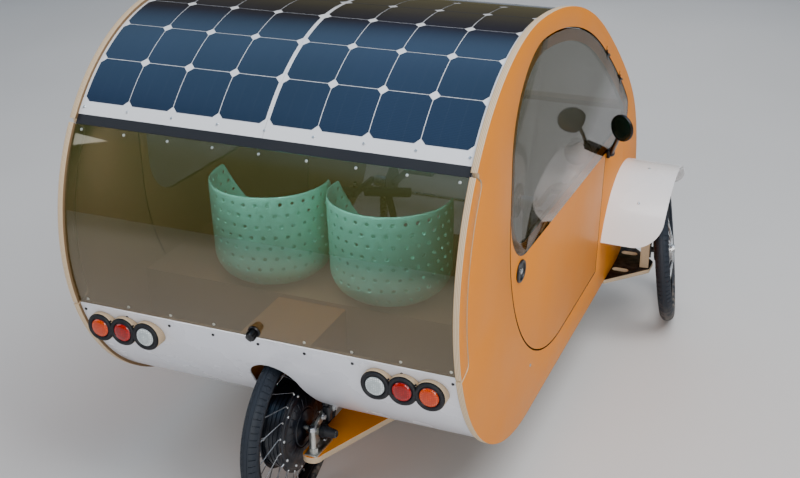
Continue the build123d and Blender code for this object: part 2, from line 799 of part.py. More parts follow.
# Front suspension boards: a lower and an upper one each side, with the king pins
with BuildPart() as lower_board:
    with BuildSketch(Plane.XY.offset(bottom_z - arm_board_thickness)):
        with BuildLine():
            Polyline((lower_board_inner_x, front_axle_y - lower_board_half),
                     (outer_half_width, front_axle_y - lower_board_half),
                     (board_tip_x, front_axle_y - board_tip_half),
                     (board_tip_x, front_axle_y + board_tip_half),
                     (outer_half_width, front_axle_y + lower_board_half),
                     (lower_board_inner_x, front_axle_y + lower_board_half), close=True)
        make_face()
        with Locations((board_slot_x, front_axle_y + board_slot_y), (board_slot_x, front_axle_y - board_slot_y)):
            SlotOverall(*board_slot, mode=Mode.SUBTRACT)
    extrude(amount=arm_board_thickness)
    fillet(lower_board.edges().filter_by(Axis.Z).group_by(Axis.X)[-1], board_tip_corner)
    with BuildSketch(Plane.XY.offset(bottom_z)):
        with Locations((kingpin_x, front_axle_y)):
            Circle(kingpin_radius)
    extrude(amount=kingpin_depth)
    with BuildSketch(Plane.XY.offset(bottom_z)):
        with Locations((board_pad_x, front_axle_y + board_pad_y)):
            Rectangle(board_pad, board_pad)
    extrude(amount=panel_proud)
save_pair(lower_board.part, "lower_arm")

with BuildPart() as upper_board:
    with BuildSketch(Plane.XY.offset(upper_board_z)):
        with BuildLine():
            Polyline((outer_half_width, front_axle_y - upper_board_half),
                     (board_tip_x, front_axle_y - board_tip_half),
                     (board_tip_x, front_axle_y + board_tip_half),
                     (outer_half_width, front_axle_y + upper_board_half), close=True)
        make_face()
    extrude(amount=upper_board_thickness)
    fillet(upper_board.edges().filter_by(Axis.Z).group_by(Axis.X)[-1], board_tip_corner)
    with BuildSketch(Plane.XY.offset(upper_board_z)):
        with Locations((kingpin_x, front_axle_y)):
            Circle(kingpin_radius)
    extrude(amount=-kingpin_depth)
save_pair(upper_board.part, "upper_arm")

# Knuckle: a plywood upright that turns on the king pins, with the stub axle, drawn about the king pin
with BuildPart() as upright:
    with BuildSketch(Plane.XY.offset(bottom_z + face_gap)):
        Rectangle(*upright_size)
    extrude(amount=upper_board_z - bottom_z - 2 * face_gap)
    for height, up in ((bottom_z, 1), (upper_board_z, -1)):
        with BuildSketch(Plane.XY.offset(height)):
            Circle(kingpin_radius + turn_gap)
        extrude(amount=up * (kingpin_depth + face_gap), mode=Mode.SUBTRACT)
save_pair(upright.part, "upright", knuckle_place)

with BuildPart() as stub:
    upright_face = upright_size[0] / 2
    axle_direction = (cos(radians(camber)), 0.0, sin(radians(camber)))
    axle_middle = Plane(origin=(hub_offset, 0, hub_z), x_dir=(0, 1, 0), z_dir=axle_direction)
    flange_z = hub_z - (hub_offset - upright_face) * sin(radians(camber))
    with BuildSketch(Plane.YZ.offset(upright_face)):
        with Locations((0, flange_z)):
            Rectangle(*stub_flange_size)
        with Locations((0, (flange_z + steering_arm_z) / 2)):
            Rectangle(stub_flange_size[0] / 2, steering_arm_z - flange_z + steering_arm_thickness)
    extrude(amount=stub_flange)
    with BuildSketch(axle_middle.offset(-(hub_offset - upright_face - stub_flange / 2))):
        Circle(stub_radius)
    extrude(amount=hub_offset - upright_face - stub_flange / 2 + flange_half + 2)
    with BuildSketch(axle_middle.offset(brake_plate_x)):
        Circle(brake_plate_radius)
    extrude(amount=brake_plate_thickness)
    arm_back = -upright_size[1] / 2
    arm_half = steering_arm_width / 2
    with BuildSketch(Plane.XY.offset(steering_arm_z + face_gap)):
        with BuildLine():
            Polyline((-arm_half, -steering_arm_reach - steering_arm_end),
                     (arm_half, -steering_arm_reach - steering_arm_end),
                     (arm_half, arm_back - steering_arm_root),
                     (upright_face + stub_flange, arm_back - steering_arm_root),
                     (upright_face + stub_flange, steering_arm_root), (upright_face, steering_arm_root),
                     (upright_face, arm_back), (-arm_half, arm_back), close=True)
        make_face()
    extrude(amount=steering_arm_thickness)
save_pair(stub.part, "stub_axle", knuckle_place)

with BuildPart() as tie_rod:
    with BuildSketch(Plane.YZ.offset(tie_rod_shift - kingpin_x)):
        with Locations((tie_rod_y, tie_rod_z)):
            Circle(tie_rod_radius)
    extrude(amount=2 * kingpin_x)
save(tie_rod.part, "tie_rod")

# Floor brackets: two crank posts and the steering lever's cheeks with their pin
with BuildPart() as brackets:
    for x in (-crank_x, crank_x):
        with BuildSketch(Plane.XY.offset(belly_top_z)):
            with Locations((x, centre_y + crank_y)):
                Circle(crank_post)
        extrude(amount=crank_z - belly_top_z)
        with BuildSketch(Plane.YZ.offset(x - crank_shell_half)):
            with Locations((centre_y + crank_y, crank_z)):
                Circle(crank_shell)
        extrude(amount=2 * crank_shell_half)
        with BuildSketch(Plane.YZ.offset(x - crank_shell_half)):
            with Locations((centre_y + crank_y, crank_z)):
                Circle(crank_axle + turn_gap)
        extrude(amount=2 * crank_shell_half, mode=Mode.SUBTRACT)
    cheek_gap = lever_eye_half + face_gap
    for y in (-cheek_gap - lever_cheek, cheek_gap):
        with BuildSketch(Plane.XZ.offset(-(centre_y + lever_y + y))):
            with Locations((0, belly_top_z)):
                Rectangle(lever_cheek_width, lever_z + lever_cheek_rise - belly_top_z,
                          align=(Align.CENTER, Align.MIN))
        extrude(amount=-lever_cheek)
    with BuildSketch(Plane.XZ.offset(-(centre_y + lever_y - cheek_gap))):
        with Locations((0, lever_z)):
            Circle(kingpin_radius)
    extrude(amount=-2 * cheek_gap)
save(brackets.part, "floor_brackets")

with BuildPart() as lever:
    with BuildSketch(Plane.XZ.offset(-(centre_y + lever_y - lever_eye_half))):
        with Locations((0, lever_z)):
            Circle(lever_eye)
            Circle(kingpin_radius + turn_gap, mode=Mode.SUBTRACT)
    extrude(amount=-2 * lever_eye_half)
    lever_plane = Plane(origin=(0, centre_y + lever_y, lever_z), z_dir=(0, lever_lean, 1))
    with BuildSketch(lever_plane.offset(lever_eye - lever_sink)):
        Circle(lever_tube)
    extrude(amount=lever_length)
    grip = lever_plane.offset(lever_length + lever_eye - lever_sink).origin
    with BuildSketch(Plane.YZ.offset(-grip_half)):
        with Locations((grip.Y, grip.Z)):
            Circle(grip_radius)
    extrude(amount=2 * grip_half)
lever_axis = Axis((0, centre_y + lever_y, lever_z), (0, 1, 0))
save(lever.part.rotate(lever_axis, lever_parked), "steering_lever")


def crankset(x):
    with BuildPart() as crank:
        with BuildSketch(Plane.YZ.offset(x - crank_shell_half - crank_axle_out)):
            with Locations((centre_y + crank_y, crank_z)):
                Circle(crank_axle)
        extrude(amount=2 * (crank_shell_half + crank_axle_out))
        inboard = -1 if x > 0 else 1
        ring_x = x + inboard * (crank_shell_half + chainring_gap + chainring_thickness / 2)
        with BuildSketch(Plane.YZ.offset(ring_x - chainring_thickness / 2)):
            with Locations((centre_y + crank_y, crank_z)):
                Circle(chainring_radius)
        extrude(amount=chainring_thickness)
        for side in (-1, 1):
            arm_x = x + side * (crank_shell_half + crank_arm_gap)
            tip_y = centre_y + crank_y + side * crank_arm
            with BuildSketch(Plane.YZ.offset(arm_x)):
                with Locations(((centre_y + crank_y + tip_y) / 2, crank_z)):
                    SlotCenterToCenter(crank_arm, arm_width)
            extrude(amount=side * arm_thickness)
            with BuildSketch(Plane.YZ.offset(arm_x + side * arm_thickness)):
                with Locations((tip_y, crank_z)):
                    Rectangle(pedal_size[1], pedal_size[2])
            extrude(amount=side * pedal_size[0])
    return crank.part


save(crankset(crank_x), "crankset_left")
save(crankset(-crank_x), "crankset_right")


# Wheels, drawn about their middles with the axle along X
axle_line = Axis((0, 0, 0), (1, 0, 0))

with BuildPart() as tyre:
    with BuildSketch(Plane.XZ):
        with Locations((0, tyre_radius - tyre_tube)):
            Circle(tyre_tube)
        Rectangle(4 * tyre_tube, 2 * rim_well, mode=Mode.SUBTRACT)
        for side in (-1, 1):
            with Locations((side * (rim_half_width - rim_flange + tyre_tube), rim_outer - tyre_tube)):
                Rectangle(2 * tyre_tube, 2 * tyre_tube, mode=Mode.SUBTRACT)
    revolve(axis=axle_line)

with BuildPart() as rim:
    rim_channel = rim_half_width - rim_flange
    rim_shoulder = rim_inner + 9.0
    rim_crown = 6.0
    with BuildSketch(Plane.XZ):
        with BuildLine():
            Polyline((-rim_half_width, rim_outer), (-rim_channel, rim_outer), (-rim_channel, rim_well),
                     (rim_channel, rim_well), (rim_channel, rim_outer), (rim_half_width, rim_outer),
                     (rim_half_width, rim_shoulder), (rim_crown, rim_inner), (-rim_crown, rim_inner),
                     (-rim_half_width, rim_shoulder), close=True)
        make_face()
    revolve(axis=axle_line)


def spokes(count, flange, start_radius):
    """Straight spokes from both flanges of a hub to the rim."""
    step = 360.0 / count
    rods = []
    for side in (-1, 1):
        for number in range(count):
            first = number * step + side * step / 4
            last = first + side * spoke_lean
            start = Vector(side * flange, start_radius * cos(radians(first)), start_radius * sin(radians(first)))
            outward = Vector(0, cos(radians(last)), sin(radians(last)))
            end = outward * (rim_inner - spoke_gap)
            slant = (end - start).get_angle(outward)
            end -= outward * spoke_radius * sin(radians(slant))
            with BuildPart(Plane(origin=start, z_dir=end - start)) as rod:
                Cylinder(spoke_radius, (end - start).length, align=(Align.CENTER, Align.CENTER, Align.MIN))
            rods.append(rod.part)
    return rods


rear_place = Location((0, rear_axle_y, tyre_radius))
save_pair(tyre.part, "tyre_front", wheel_place)
save_pair(rim.part, "rim_front", wheel_place)
save(tyre.part.moved(rear_place), "tyre_rear")
save(rim.part.moved(rear_place), "rim_rear")

with BuildPart() as hub:
    with BuildSketch(Plane.XZ):
        Rectangle(2 * flange_half, 2 * hub_barrel)
        for flange_x in (-flange_half, flange_half):
            with Locations((flange_x, 0)):
                Rectangle(flange_thickness, 2 * flange_radius)
        Rectangle(hub_cap_x, 2 * hub_cap_radius, align=(Align.MIN, Align.CENTER))
        with Locations((-flange_half - flange_thickness, 0)):
            Rectangle(2 * flange_half + flange_thickness + hub_bore_end, 2 * (stub_radius + turn_gap),
                      align=(Align.MIN, Align.CENTER), mode=Mode.SUBTRACT)
        Rectangle(4 * flange_half, flange_radius, align=(Align.CENTER, Align.MAX), mode=Mode.SUBTRACT)
    revolve(axis=axle_line)
    add(spokes(front_spokes, flange_half, flange_radius - spoke_sink))
save_pair(hub.part, "front_hub", wheel_place)

with BuildPart() as motor:
    with BuildSketch(Plane.XZ):
        with BuildLine():
            bore = axle_shoulder + turn_gap
            Polyline((-motor_cover, bore), (-motor_cover, motor_boss), (-motor_half, motor_dish),
                     (-motor_half, motor_radius), (motor_half, motor_radius), (motor_half, motor_dish),
                     (motor_cover, motor_boss), (motor_cover, bore), close=True)
        make_face()
        for flange_x in (-motor_flange_half, motor_flange_half):
            with Locations((flange_x, motor_flange_radius / 2)):
                Rectangle(motor_flange_thickness, motor_flange_radius / 2, align=(Align.CENTER, Align.MIN))
    revolve(axis=axle_line)
save(motor.part.moved(rear_place), "hub_motor")

with BuildPart() as rear_spoke_set:
    add(spokes(rear_spokes, motor_flange_half, motor_flange_radius + spoke_gap + spoke_radius))
save(rear_spoke_set.part.moved(rear_place), "spokes_rear")

# Rear swingarm: a plywood board under the body, forked round the wheel, drawn from the body's middle
swing_board = Plane(origin=(0, centre_y, swing_top_z), x_dir=(1, 0, 0),
                    z_dir=(0, -sin(radians(swing_rise)), cos(radians(swing_rise))))
tip_y = centre_to_rear_axle + swing_tip_y
crotch_y = well_front_y - centre_y + 10
swing_front = crotch_y - 130
swing_shoulder = crotch_y - 40

with BuildPart() as swingarm:
    with BuildSketch(swing_board.offset(-swing_thickness)):
        with BuildLine():
            Polyline((swing_spread, swing_front), (swing_spread, swing_shoulder),
                     (swing_inner + 2 * swing_tip_half, tip_y - swing_tip_half),
                     (swing_inner + 2 * swing_tip_half, tip_y), (swing_inner, tip_y),
                     (swing_inner, crotch_y), (-swing_inner, crotch_y), (-swing_inner, tip_y),
                     (-swing_inner - 2 * swing_tip_half, tip_y),
                     (-swing_inner - 2 * swing_tip_half, tip_y - swing_tip_half),
                     (-swing_spread, swing_shoulder), (-swing_spread, swing_front), close=True)
        make_face()
    extrude(amount=swing_thickness)
    fillet(swingarm.edges().filter_by(lambda edge: edge.geom_type == GeomType.LINE
                                      and abs(edge.length - swing_thickness) < seat_gap)
           .group_by(Axis.Y)[-1], swing_tip_half * 0.95)
    with BuildSketch(swing_board.offset(-swing_thickness / 2)):
        with Locations((-swing_pad_x, swing_front + swing_pad_back), (swing_pad_x, swing_front + swing_pad_back)):
            Rectangle(*swing_pad)
    extrude(amount=swing_thickness / 2 + bottom_z + panel_proud - swing_top_z)
    with BuildSketch(skin_side):
        add(body_face(panel_proud))
    extrude(amount=2 * inner_half_width, mode=Mode.SUBTRACT)
save(swingarm.part, "rear_swingarm")

# Dropouts: on each arm a foot plate with a stud, a plate that holds the axle, and a strut across it
with BuildPart() as dropouts:
    stud_x = dropout_x + stud_out
    foot_z = swing_top_z + centre_to_rear_axle * sin(radians(swing_rise)) + dropout_foot / 2
    for side in (-1, 1):
        with BuildSketch(swing_board):
            with Locations((side * stud_x, centre_to_rear_axle + dropout_foot_shift)):
                Rectangle(*dropout_foot_size)
        extrude(amount=dropout_foot)
        with BuildSketch(swing_board):
            with Locations((side * stud_x, centre_to_rear_axle + stud_y)):
                RegularPolygon(stud_nut_radius, 6)
        extrude(amount=dropout_foot + stud_nut_height)
        with BuildSketch(Plane.XY.offset(foot_z)):
            with Locations((side * stud_x, rear_axle_y + stud_y)):
                Circle(stud_radius)
        extrude(amount=stud_top_z - foot_z)
        with BuildSketch(Plane.YZ.offset(side * dropout_x)):
            with Locations((rear_axle_y, foot_z)):
                Rectangle(2 * dropout_half, tyre_radius - foot_z, align=(Align.CENTER, Align.MIN))
            with Locations((rear_axle_y, tyre_radius)):
                Circle(dropout_half)
        extrude(amount=side * dropout_thickness)
        with BuildSketch(Plane.YZ.offset(side * (stud_x - strut_thickness / 2))):
            with BuildLine():
                Polyline((rear_axle_y + stud_y + stud_radius, stud_top_z - strut_width),
                         (rear_axle_y + stud_y + stud_radius, stud_top_z),
                         (rear_axle_y - strut_reach, stud_top_z + strut_rise),
                         (rear_axle_y - strut_reach, stud_top_z + strut_rise - strut_width), close=True)
            make_face()
        extrude(amount=side * strut_thickness)
        with BuildSketch(Plane.YZ.offset(side * (dropout_x + dropout_thickness))):
            with Locations((rear_axle_y, tyre_radius)):
                RegularPolygon(axle_nut_radius, 6)
        extrude(amount=side * axle_nut_height)
    for half, radius in ((axle_end, axle_radius), (dropout_x, axle_shoulder)):
        with BuildSketch(Plane.YZ.offset(-half)):
            with Locations((rear_axle_y, tyre_radius)):
                Circle(radius)
        extrude(amount=2 * half)
    with BuildSketch(Plane.YZ.offset(-dropout_x - dropout_thickness - axle_nut_height)):
        with Locations((rear_axle_y, tyre_radius)):
            Circle(axle_cap_radius)
    extrude(amount=-axle_cap_length, taper=axle_cap_taper)
save(dropouts.part, "rear_dropouts")
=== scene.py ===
# %% [markdown]
# A two-seat solar tricycle with a plywood body.
# The imported CAD model already holds every size, seam and wheel. This lesson dresses it: paint over
# plywood, solar cells, smoked windows, tyre tread, lamps, screws and light. The larger new pieces are
# placed with the same numbers the model was drawn with. Small ones that it doesn't hold, such as screws,
# nuts, the reflector and the torque block, were placed one by one, as colours, glosses and lights were.

import math

import bmesh
import bpy
from mathutils import Matrix, Vector


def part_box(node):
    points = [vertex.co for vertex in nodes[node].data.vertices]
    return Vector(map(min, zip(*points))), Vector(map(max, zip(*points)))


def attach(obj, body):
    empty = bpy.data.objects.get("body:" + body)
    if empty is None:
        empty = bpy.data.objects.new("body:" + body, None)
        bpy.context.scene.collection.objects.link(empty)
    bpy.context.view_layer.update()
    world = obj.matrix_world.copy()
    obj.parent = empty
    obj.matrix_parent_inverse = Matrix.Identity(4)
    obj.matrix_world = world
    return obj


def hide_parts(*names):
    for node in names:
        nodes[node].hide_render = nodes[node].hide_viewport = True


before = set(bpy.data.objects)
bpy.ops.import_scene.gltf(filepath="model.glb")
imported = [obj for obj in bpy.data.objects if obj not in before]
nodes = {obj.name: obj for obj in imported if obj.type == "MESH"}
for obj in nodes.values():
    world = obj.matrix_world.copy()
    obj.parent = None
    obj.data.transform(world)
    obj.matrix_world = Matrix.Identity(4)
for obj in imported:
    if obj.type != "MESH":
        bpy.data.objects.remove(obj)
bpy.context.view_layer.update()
scene = bpy.context.scene

# %% [markdown]
# Most places on the body are measured from the big rear circle of its side view, and that circle and
# the front axle are measured from the rear wheel. So the script reads the wheel's box first.

# %% Measures shared by all the pieces
def middle_of(node):
    low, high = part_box(node)
    return (low + high) / 2


two_sides = ((1, "left"), (-1, "right"))
circle_to_axle = 0.378
wheelbase = 1.444
rear_hub = middle_of("tyre_rear")
centre_y = rear_hub.y - circle_to_axle
centre_z = 0.738
front_axle_y = rear_hub.y - wheelbase
skin_radius = 0.547
side_inner_x = 0.519
side_outer_x = 0.535
tyre_tube = 0.0235
tube_centre = 0.2265
camber = math.radians(7.6)
steer_parked = math.radians(9.9)
kingpin_x = 0.635
hub_offset = 0.066
hub_z = tyre_tube + tube_centre * math.cos(camber)


def knuckle_frame(side):
    return Matrix.Translation((side * kingpin_x, front_axle_y, 0)) @ Matrix.Rotation(steer_parked, 4, "Z")


def wheel_frame(side):
    lean = Matrix.Rotation(-side * camber, 4, "Y")
    return knuckle_frame(side) @ Matrix.Translation((side * hub_offset, 0, hub_z)) @ lean


rear_frame = Matrix.Translation(rear_hub)
print("rear circle centre", round(centre_y, 4), centre_z, "rear hub", [round(v, 4) for v in rear_hub])

# %% [markdown]
# The camera stands behind the tricycle's right rear corner, a little above head height, and looks down.
# Its place and turn were solved from the rows of solar cells, taken to be 125 mm squares.

# %% Camera
def add_object(name, data):
    thing = bpy.data.objects.new(name, data)
    scene.collection.objects.link(thing)
    return thing


camera_data = bpy.data.cameras.new("photo_camera")
camera_data.lens = 52.92
camera_data.sensor_width = 36.0
camera_data.shift_y = 0.0075
camera = add_object("photo_camera", camera_data)
camera.location = (-1.309, centre_y + 2.690, 1.99)
camera.rotation_euler = [math.radians(turn) for turn in (65.188, 0.772, -157.207)]
scene.camera = camera
scene.view_settings.look = "AgX - Punchy"
scene.view_settings.exposure = 0.75

# %% [markdown]
# Shader trees are built from a few small helpers. The main one adds a node and fills its sockets, each
# with a value or with the output of another node. Another makes an empty group with named sockets.

# %% Helpers for shader trees
def fill(tree, node, values):
    for socket, value in values.items():
        if isinstance(value, bpy.types.NodeSocket):
            tree.links.new(value, node.inputs[socket])
        else:
            node.inputs[socket].default_value = value


def put(tree, kind, values=None, **settings):
    node = tree.nodes.new(kind)
    for name, value in settings.items():
        setattr(node, name, value)
    fill(tree, node, values or {})
    return node


def calc(tree, operation, *values):
    """The result of a Math node."""
    return put(tree, "ShaderNodeMath", dict(enumerate(values)), operation=operation).outputs[0]


def dot(tree, first, second):
    node = put(tree, "ShaderNodeVectorMath", {0: first, 1: second}, operation="DOT_PRODUCT")
    return node.outputs["Value"]


def part_of(tree, vector, axis):
    return put(tree, "ShaderNodeSeparateXYZ", {0: vector}).outputs[axis]


def noise(tree, scale, detail):
    """Noise in the object's own coordinates."""
    place = put(tree, "ShaderNodeTexCoord").outputs["Object"]
    return put(tree, "ShaderNodeTexNoise", {"Vector": place, "Scale": scale, "Detail": detail}).outputs["Fac"]


def blend_colour(tree, share, first, second):
    mix = put(tree, "ShaderNodeMix", {0: share, 6: first, 7: second}, data_type="RGBA")
    return mix.outputs[2]


def blend_value(tree, share, first, second):
    return put(tree, "ShaderNodeMix", {0: share, 2: first, 3: second}).outputs[0]


def ramp(tree, value, low, high, bottom=0.0, top=1.0):
    """A value eased from one range to another."""
    sockets = {"Value": value, "From Min": low, "From Max": high, "To Min": bottom, "To Max": top}
    return put(tree, "ShaderNodeMapRange", sockets, interpolation_type="SMOOTHSTEP").outputs["Result"]


def shader_group(name, inputs, outputs):
    """A group with named sockets; returns its tree, its input node and its output node."""
    tree = bpy.data.node_groups.new(name, "ShaderNodeTree")
    for label, kind, value in inputs:
        socket = tree.interface.new_socket(name=label, in_out="INPUT", socket_type="NodeSocket" + kind)
        socket.default_value = value
    for label, kind in outputs:
        tree.interface.new_socket(name=label, in_out="OUTPUT", socket_type="NodeSocket" + kind)
    return tree, tree.nodes.new("NodeGroupInput"), tree.nodes.new("NodeGroupOutput")


def use_group(tree, group, **values):
    named = {name.replace("_", " "): value for name, value in values.items()}
    return put(tree, "ShaderNodeGroup", named, node_tree=group).outputs


# %% [markdown]
# Plywood shows its layers wherever a board is cut. The group looks at the way a surface faces: where it
# faces along the board's own normal it is a painted face, elsewhere it is a cut edge. On the edge the
# distance across the board gives the layers, alternately long grain and darker end grain.

# %% Group: plywood edge
ply_group, ply_in, ply_out = shader_group(
    "plywood_edge",
    [("Board normal", "Vector", (1, 0, 0)), ("Layer", "Float", 0.0018)],
    [("Edge", "Float"), ("Colour", "Color"), ("Height", "Float")])
place = put(ply_group, "ShaderNodeTexCoord").outputs
facing = dot(ply_group, place["Normal"], ply_in.outputs["Board normal"])
across = dot(ply_group, place["Object"], ply_in.outputs["Board normal"])
edge = ramp(ply_group, calc(ply_group, "ABSOLUTE", facing), 0.5, 0.75, 1.0, 0.0)
depth = calc(ply_group, "MULTIPLY_ADD", noise(ply_group, 55.0, 3.0), 0.0004, across)
layer = calc(ply_group, "PINGPONG", calc(ply_group, "DIVIDE", depth, ply_in.outputs["Layer"]), 1.0)
bands = ramp(ply_group, layer, 0.35, 0.65)
shade = calc(ply_group, "MULTIPLY", bands, 0.75)
tone = calc(ply_group, "MULTIPLY_ADD", noise(ply_group, 420.0, 4.0), 0.5, shade)
wood = blend_colour(ply_group, tone, (0.80, 0.66, 0.47, 1), (0.52, 0.36, 0.21, 1))
fill(ply_group, ply_out, {"Edge": edge, "Colour": wood, "Height": calc(ply_group, "MULTIPLY", bands, edge)})

# %% [markdown]
# Nothing outdoors is perfectly even. The wear group makes three outputs from a slow and a fast noise: a
# tone that lightens and darkens the colour, patches of duller gloss, and a fine height for bump.

# %% Group: wear
wear_group, wear_in, wear_out = shader_group(
    "wear", [("Scale", "Float", 6.0), ("Strength", "Float", 0.1)],
    [("Tone", "Float"), ("Dull", "Float"), ("Height", "Float")])
slow = noise(wear_group, wear_in.outputs["Scale"], 5.0)
fast = noise(wear_group, calc(wear_group, "MULTIPLY", wear_in.outputs["Scale"], 30.0), 2.0)
swing = calc(wear_group, "MULTIPLY", calc(wear_group, "SUBTRACT", slow, 0.5), wear_in.outputs["Strength"])
fill(wear_group, wear_out, {"Tone": calc(wear_group, "ADD", swing, 1.0),
                            "Dull": ramp(wear_group, slow, 0.35, 0.75), "Height": fast})

# %% [markdown]
# Road dust gathers low down and thins out with height. The mask falls from the ground upwards and a
# noise breaks its edge.

# %% Group: road dust
dust_group, dust_in, dust_out = shader_group("road_dust", [("Reach", "Float", 0.5)], [("Dust", "Float")])
height = part_of(dust_group, put(dust_group, "ShaderNodeTexCoord").outputs["Object"], "Z")
fall = ramp(dust_group, height, 0.0, dust_in.outputs["Reach"], 1.0, 0.0)
specks = ramp(dust_group, noise(dust_group, 45.0, 6.0), 0.35, 0.7)
fill(dust_group, dust_out, {"Dust": calc(dust_group, "MULTIPLY", fall, specks)})

# %% [markdown]
# One function makes the plain finishes: a Principled shader whose colour and gloss carry a little wear
# and, if asked, dust. Numbers that are the same all over a surface go straight on the shader's sockets.

# %% Plain finishes
DUST_COLOUR = (0.42, 0.35, 0.28, 1)
# Dark painted shade for cut edges in seams, standing in for the shadow in the gap.
PAINTED_SEAM_SHADE = (0.030, 0.020, 0.014, 1)
BARE_WOOD = (0.20, 0.125, 0.065)
ORANGE = (0.80, 0.250, 0.006)


def new_material(name):
    material = bpy.data.materials.new(name)
    material.use_nodes = True
    tree = material.node_tree
    return material, tree, tree.nodes["Principled BSDF"]


def tint(tree, colour, tone):
    """A colour made lighter or darker by a tone about 1."""
    grey = put(tree, "ShaderNodeCombineColor", {0: tone, 1: tone, 2: tone}).outputs[0]
    mix = put(tree, "ShaderNodeMix", {0: 1.0, 6: colour, 7: grey}, data_type="RGBA", blend_type="MULTIPLY")
    return mix.outputs[2]


def bump(tree, height, strength, distance):
    values = {"Height": height, "Strength": strength, "Distance": distance}
    return put(tree, "ShaderNodeBump", values).outputs["Normal"]


def plain_finish(name, colour, roughness, metallic=0.0, scale=6.0, strength=0.1, dull=0.12, grain=0.0002,
                 dust=0.0, coat=0.0):
    material, tree, shader = new_material(name)
    wear = use_group(tree, wear_group, Scale=scale, Strength=strength)
    toned = tint(tree, (*colour, 1), wear["Tone"])
    rough = calc(tree, "MULTIPLY_ADD", wear["Dull"], dull, roughness)
    if dust:
        mask = use_group(tree, dust_group, Reach=dust)["Dust"]
        share = calc(tree, "MULTIPLY", mask, 0.55)
        toned = blend_colour(tree, share, toned, DUST_COLOUR)
        rough = blend_value(tree, share, rough, 0.9)
    fill(tree, shader, {"Base Color": toned, "Roughness": rough, "Metallic": metallic,
                        "Normal": bump(tree, wear["Height"], 0.25, grain), "Coat Weight": coat,
                        "Coat Roughness": 0.08})
    return material


# %% [markdown]
# Painted boards use the plywood group. The doors, the sides and the hatch strips have bare wood on their
# inner face. Edges in a seam get painted shade, a dark colour in place of the shadow in the gap: those
# that face the rear circle's centre, where a position less the centre, multiplied by the normal, comes out
# below a limit. On the doors all edges get this painted shade.

# %% Painted boards
def painted_board(name, colour, normal, roughness=0.36, coat=0.10, dust=0.0, inside=None, seam_shade=None):
    """Paint on a board's faces, and its layers on its cut edges, bare or darkened with painted seam shade."""
    material, tree, shader = new_material(name)
    ply = use_group(tree, ply_group, Board_normal=normal, Layer=0.0018)
    wear = use_group(tree, wear_group, Scale=4.0, Strength=0.10)
    paint = tint(tree, (*colour, 1), wear["Tone"])
    place = put(tree, "ShaderNodeTexCoord").outputs
    if inside:
        turned, spot = (part_of(tree, place[kind], "X") for kind in ("Normal", "Object"))
        inward = calc(tree, "LESS_THAN", calc(tree, "MULTIPLY", turned, spot), 0.0)
        paint = blend_colour(tree, inward, paint, (*inside, 1))
    layers = ply["Colour"]
    # Painted shade: cut edges in a seam take a dark colour that stands in for the shadow in the gap.
    if seam_shade is not None:
        reach = put(tree, "ShaderNodeVectorMath", {0: place["Object"], 1: (0, centre_y, centre_z)},
                    operation="SUBTRACT").outputs["Vector"]
        in_shaded_seam = calc(tree, "LESS_THAN", dot(tree, reach, place["Normal"]), seam_shade)
        layers = blend_colour(tree, in_shaded_seam, layers, PAINTED_SEAM_SHADE)
    toned = blend_colour(tree, ply["Edge"], paint, layers)
    rough = blend_value(tree, ply["Edge"], calc(tree, "MULTIPLY_ADD", wear["Dull"], 0.10, roughness), 0.6)
    if dust:
        share = calc(tree, "MULTIPLY", use_group(tree, dust_group, Reach=dust)["Dust"], 0.35)
        toned = blend_colour(tree, share, toned, DUST_COLOUR)
    coated = calc(tree, "MULTIPLY", calc(tree, "SUBTRACT", 1.0, ply["Edge"]), coat)
    height = calc(tree, "MULTIPLY_ADD", wear["Height"], 0.12, ply["Height"])
    fill(tree, shader, {"Base Color": toned, "Roughness": rough, "Normal": bump(tree, height, 0.3, 0.0003),
                        "Coat Weight": coated, "Coat Roughness": 0.12, "Specular IOR Level": 0.28})
    return material


across_swingarm = (0, -0.041, 0.999)
across_knuckle = (math.cos(steer_parked), math.sin(steer_parked), 0)
shade_every_edge = 9.0
orange_side = painted_board("orange_paint_on_side_boards", ORANGE, (1, 0, 0), 0.45, coat=0.0, dust=0.35,
                            inside=BARE_WOOD, seam_shade=0.0)
# The door boards take the painted seam shade on every cut edge.
orange_door = painted_board("orange_paint_on_door_boards", ORANGE, (1, 0, 0), 0.45, coat=0.0, dust=0.35,
                            inside=BARE_WOOD, seam_shade=shade_every_edge)
orange_deck = painted_board("orange_paint_on_flat_boards", ORANGE, across_swingarm, dust=0.3)
wood_frame = plain_finish("varnished_wood_inside", BARE_WOOD, 0.5, scale=9.0, strength=0.3)
black_deck = painted_board("black_paint_on_flat_boards", (0.012, 0.012, 0.014), (0, 0, 1), 0.42, dust=0.28)
black_lamp_board = painted_board("black_paint_on_lamp_boards", (0.012, 0.012, 0.013), (0, 1, 0), 0.4)
upright_wood = painted_board("varnished_upright", (0.44, 0.27, 0.15), across_knuckle, 0.5, coat=0.15,
                             dust=0.3)
skirt_white = plain_finish("white_laminate", (0.76, 0.77, 0.83), 0.22, strength=0.05, coat=0.5, dust=0.35)
fender_white = plain_finish("white_fender_sheet", (0.87, 0.87, 0.88), 0.24, strength=0.04, coat=0.4)
rubber = plain_finish("black_rubber", (0.012, 0.012, 0.015), 0.55, scale=9.0, strength=0.5, grain=0.0004)
tread_rubber = plain_finish("tyre_rubber", (0.016, 0.021, 0.030), 0.62, scale=12.0, strength=0.5, dull=0.2,
                            grain=0.0005, dust=0.16)
black_plastic = plain_finish("black_plastic", (0.010, 0.010, 0.012), 0.32, scale=14.0, grain=0.0002)
black_metal = plain_finish("black_powder_coat", (0.014, 0.015, 0.018), 0.38, scale=20.0, coat=0.15)
motor_shell = plain_finish("black_motor_paint", (0.010, 0.012, 0.018), 0.34, scale=18.0, coat=0.25, dust=0.22)
rim_black = plain_finish("black_anodised_rim", (0.020, 0.020, 0.024), 0.3, metallic=0.6, scale=20.0)
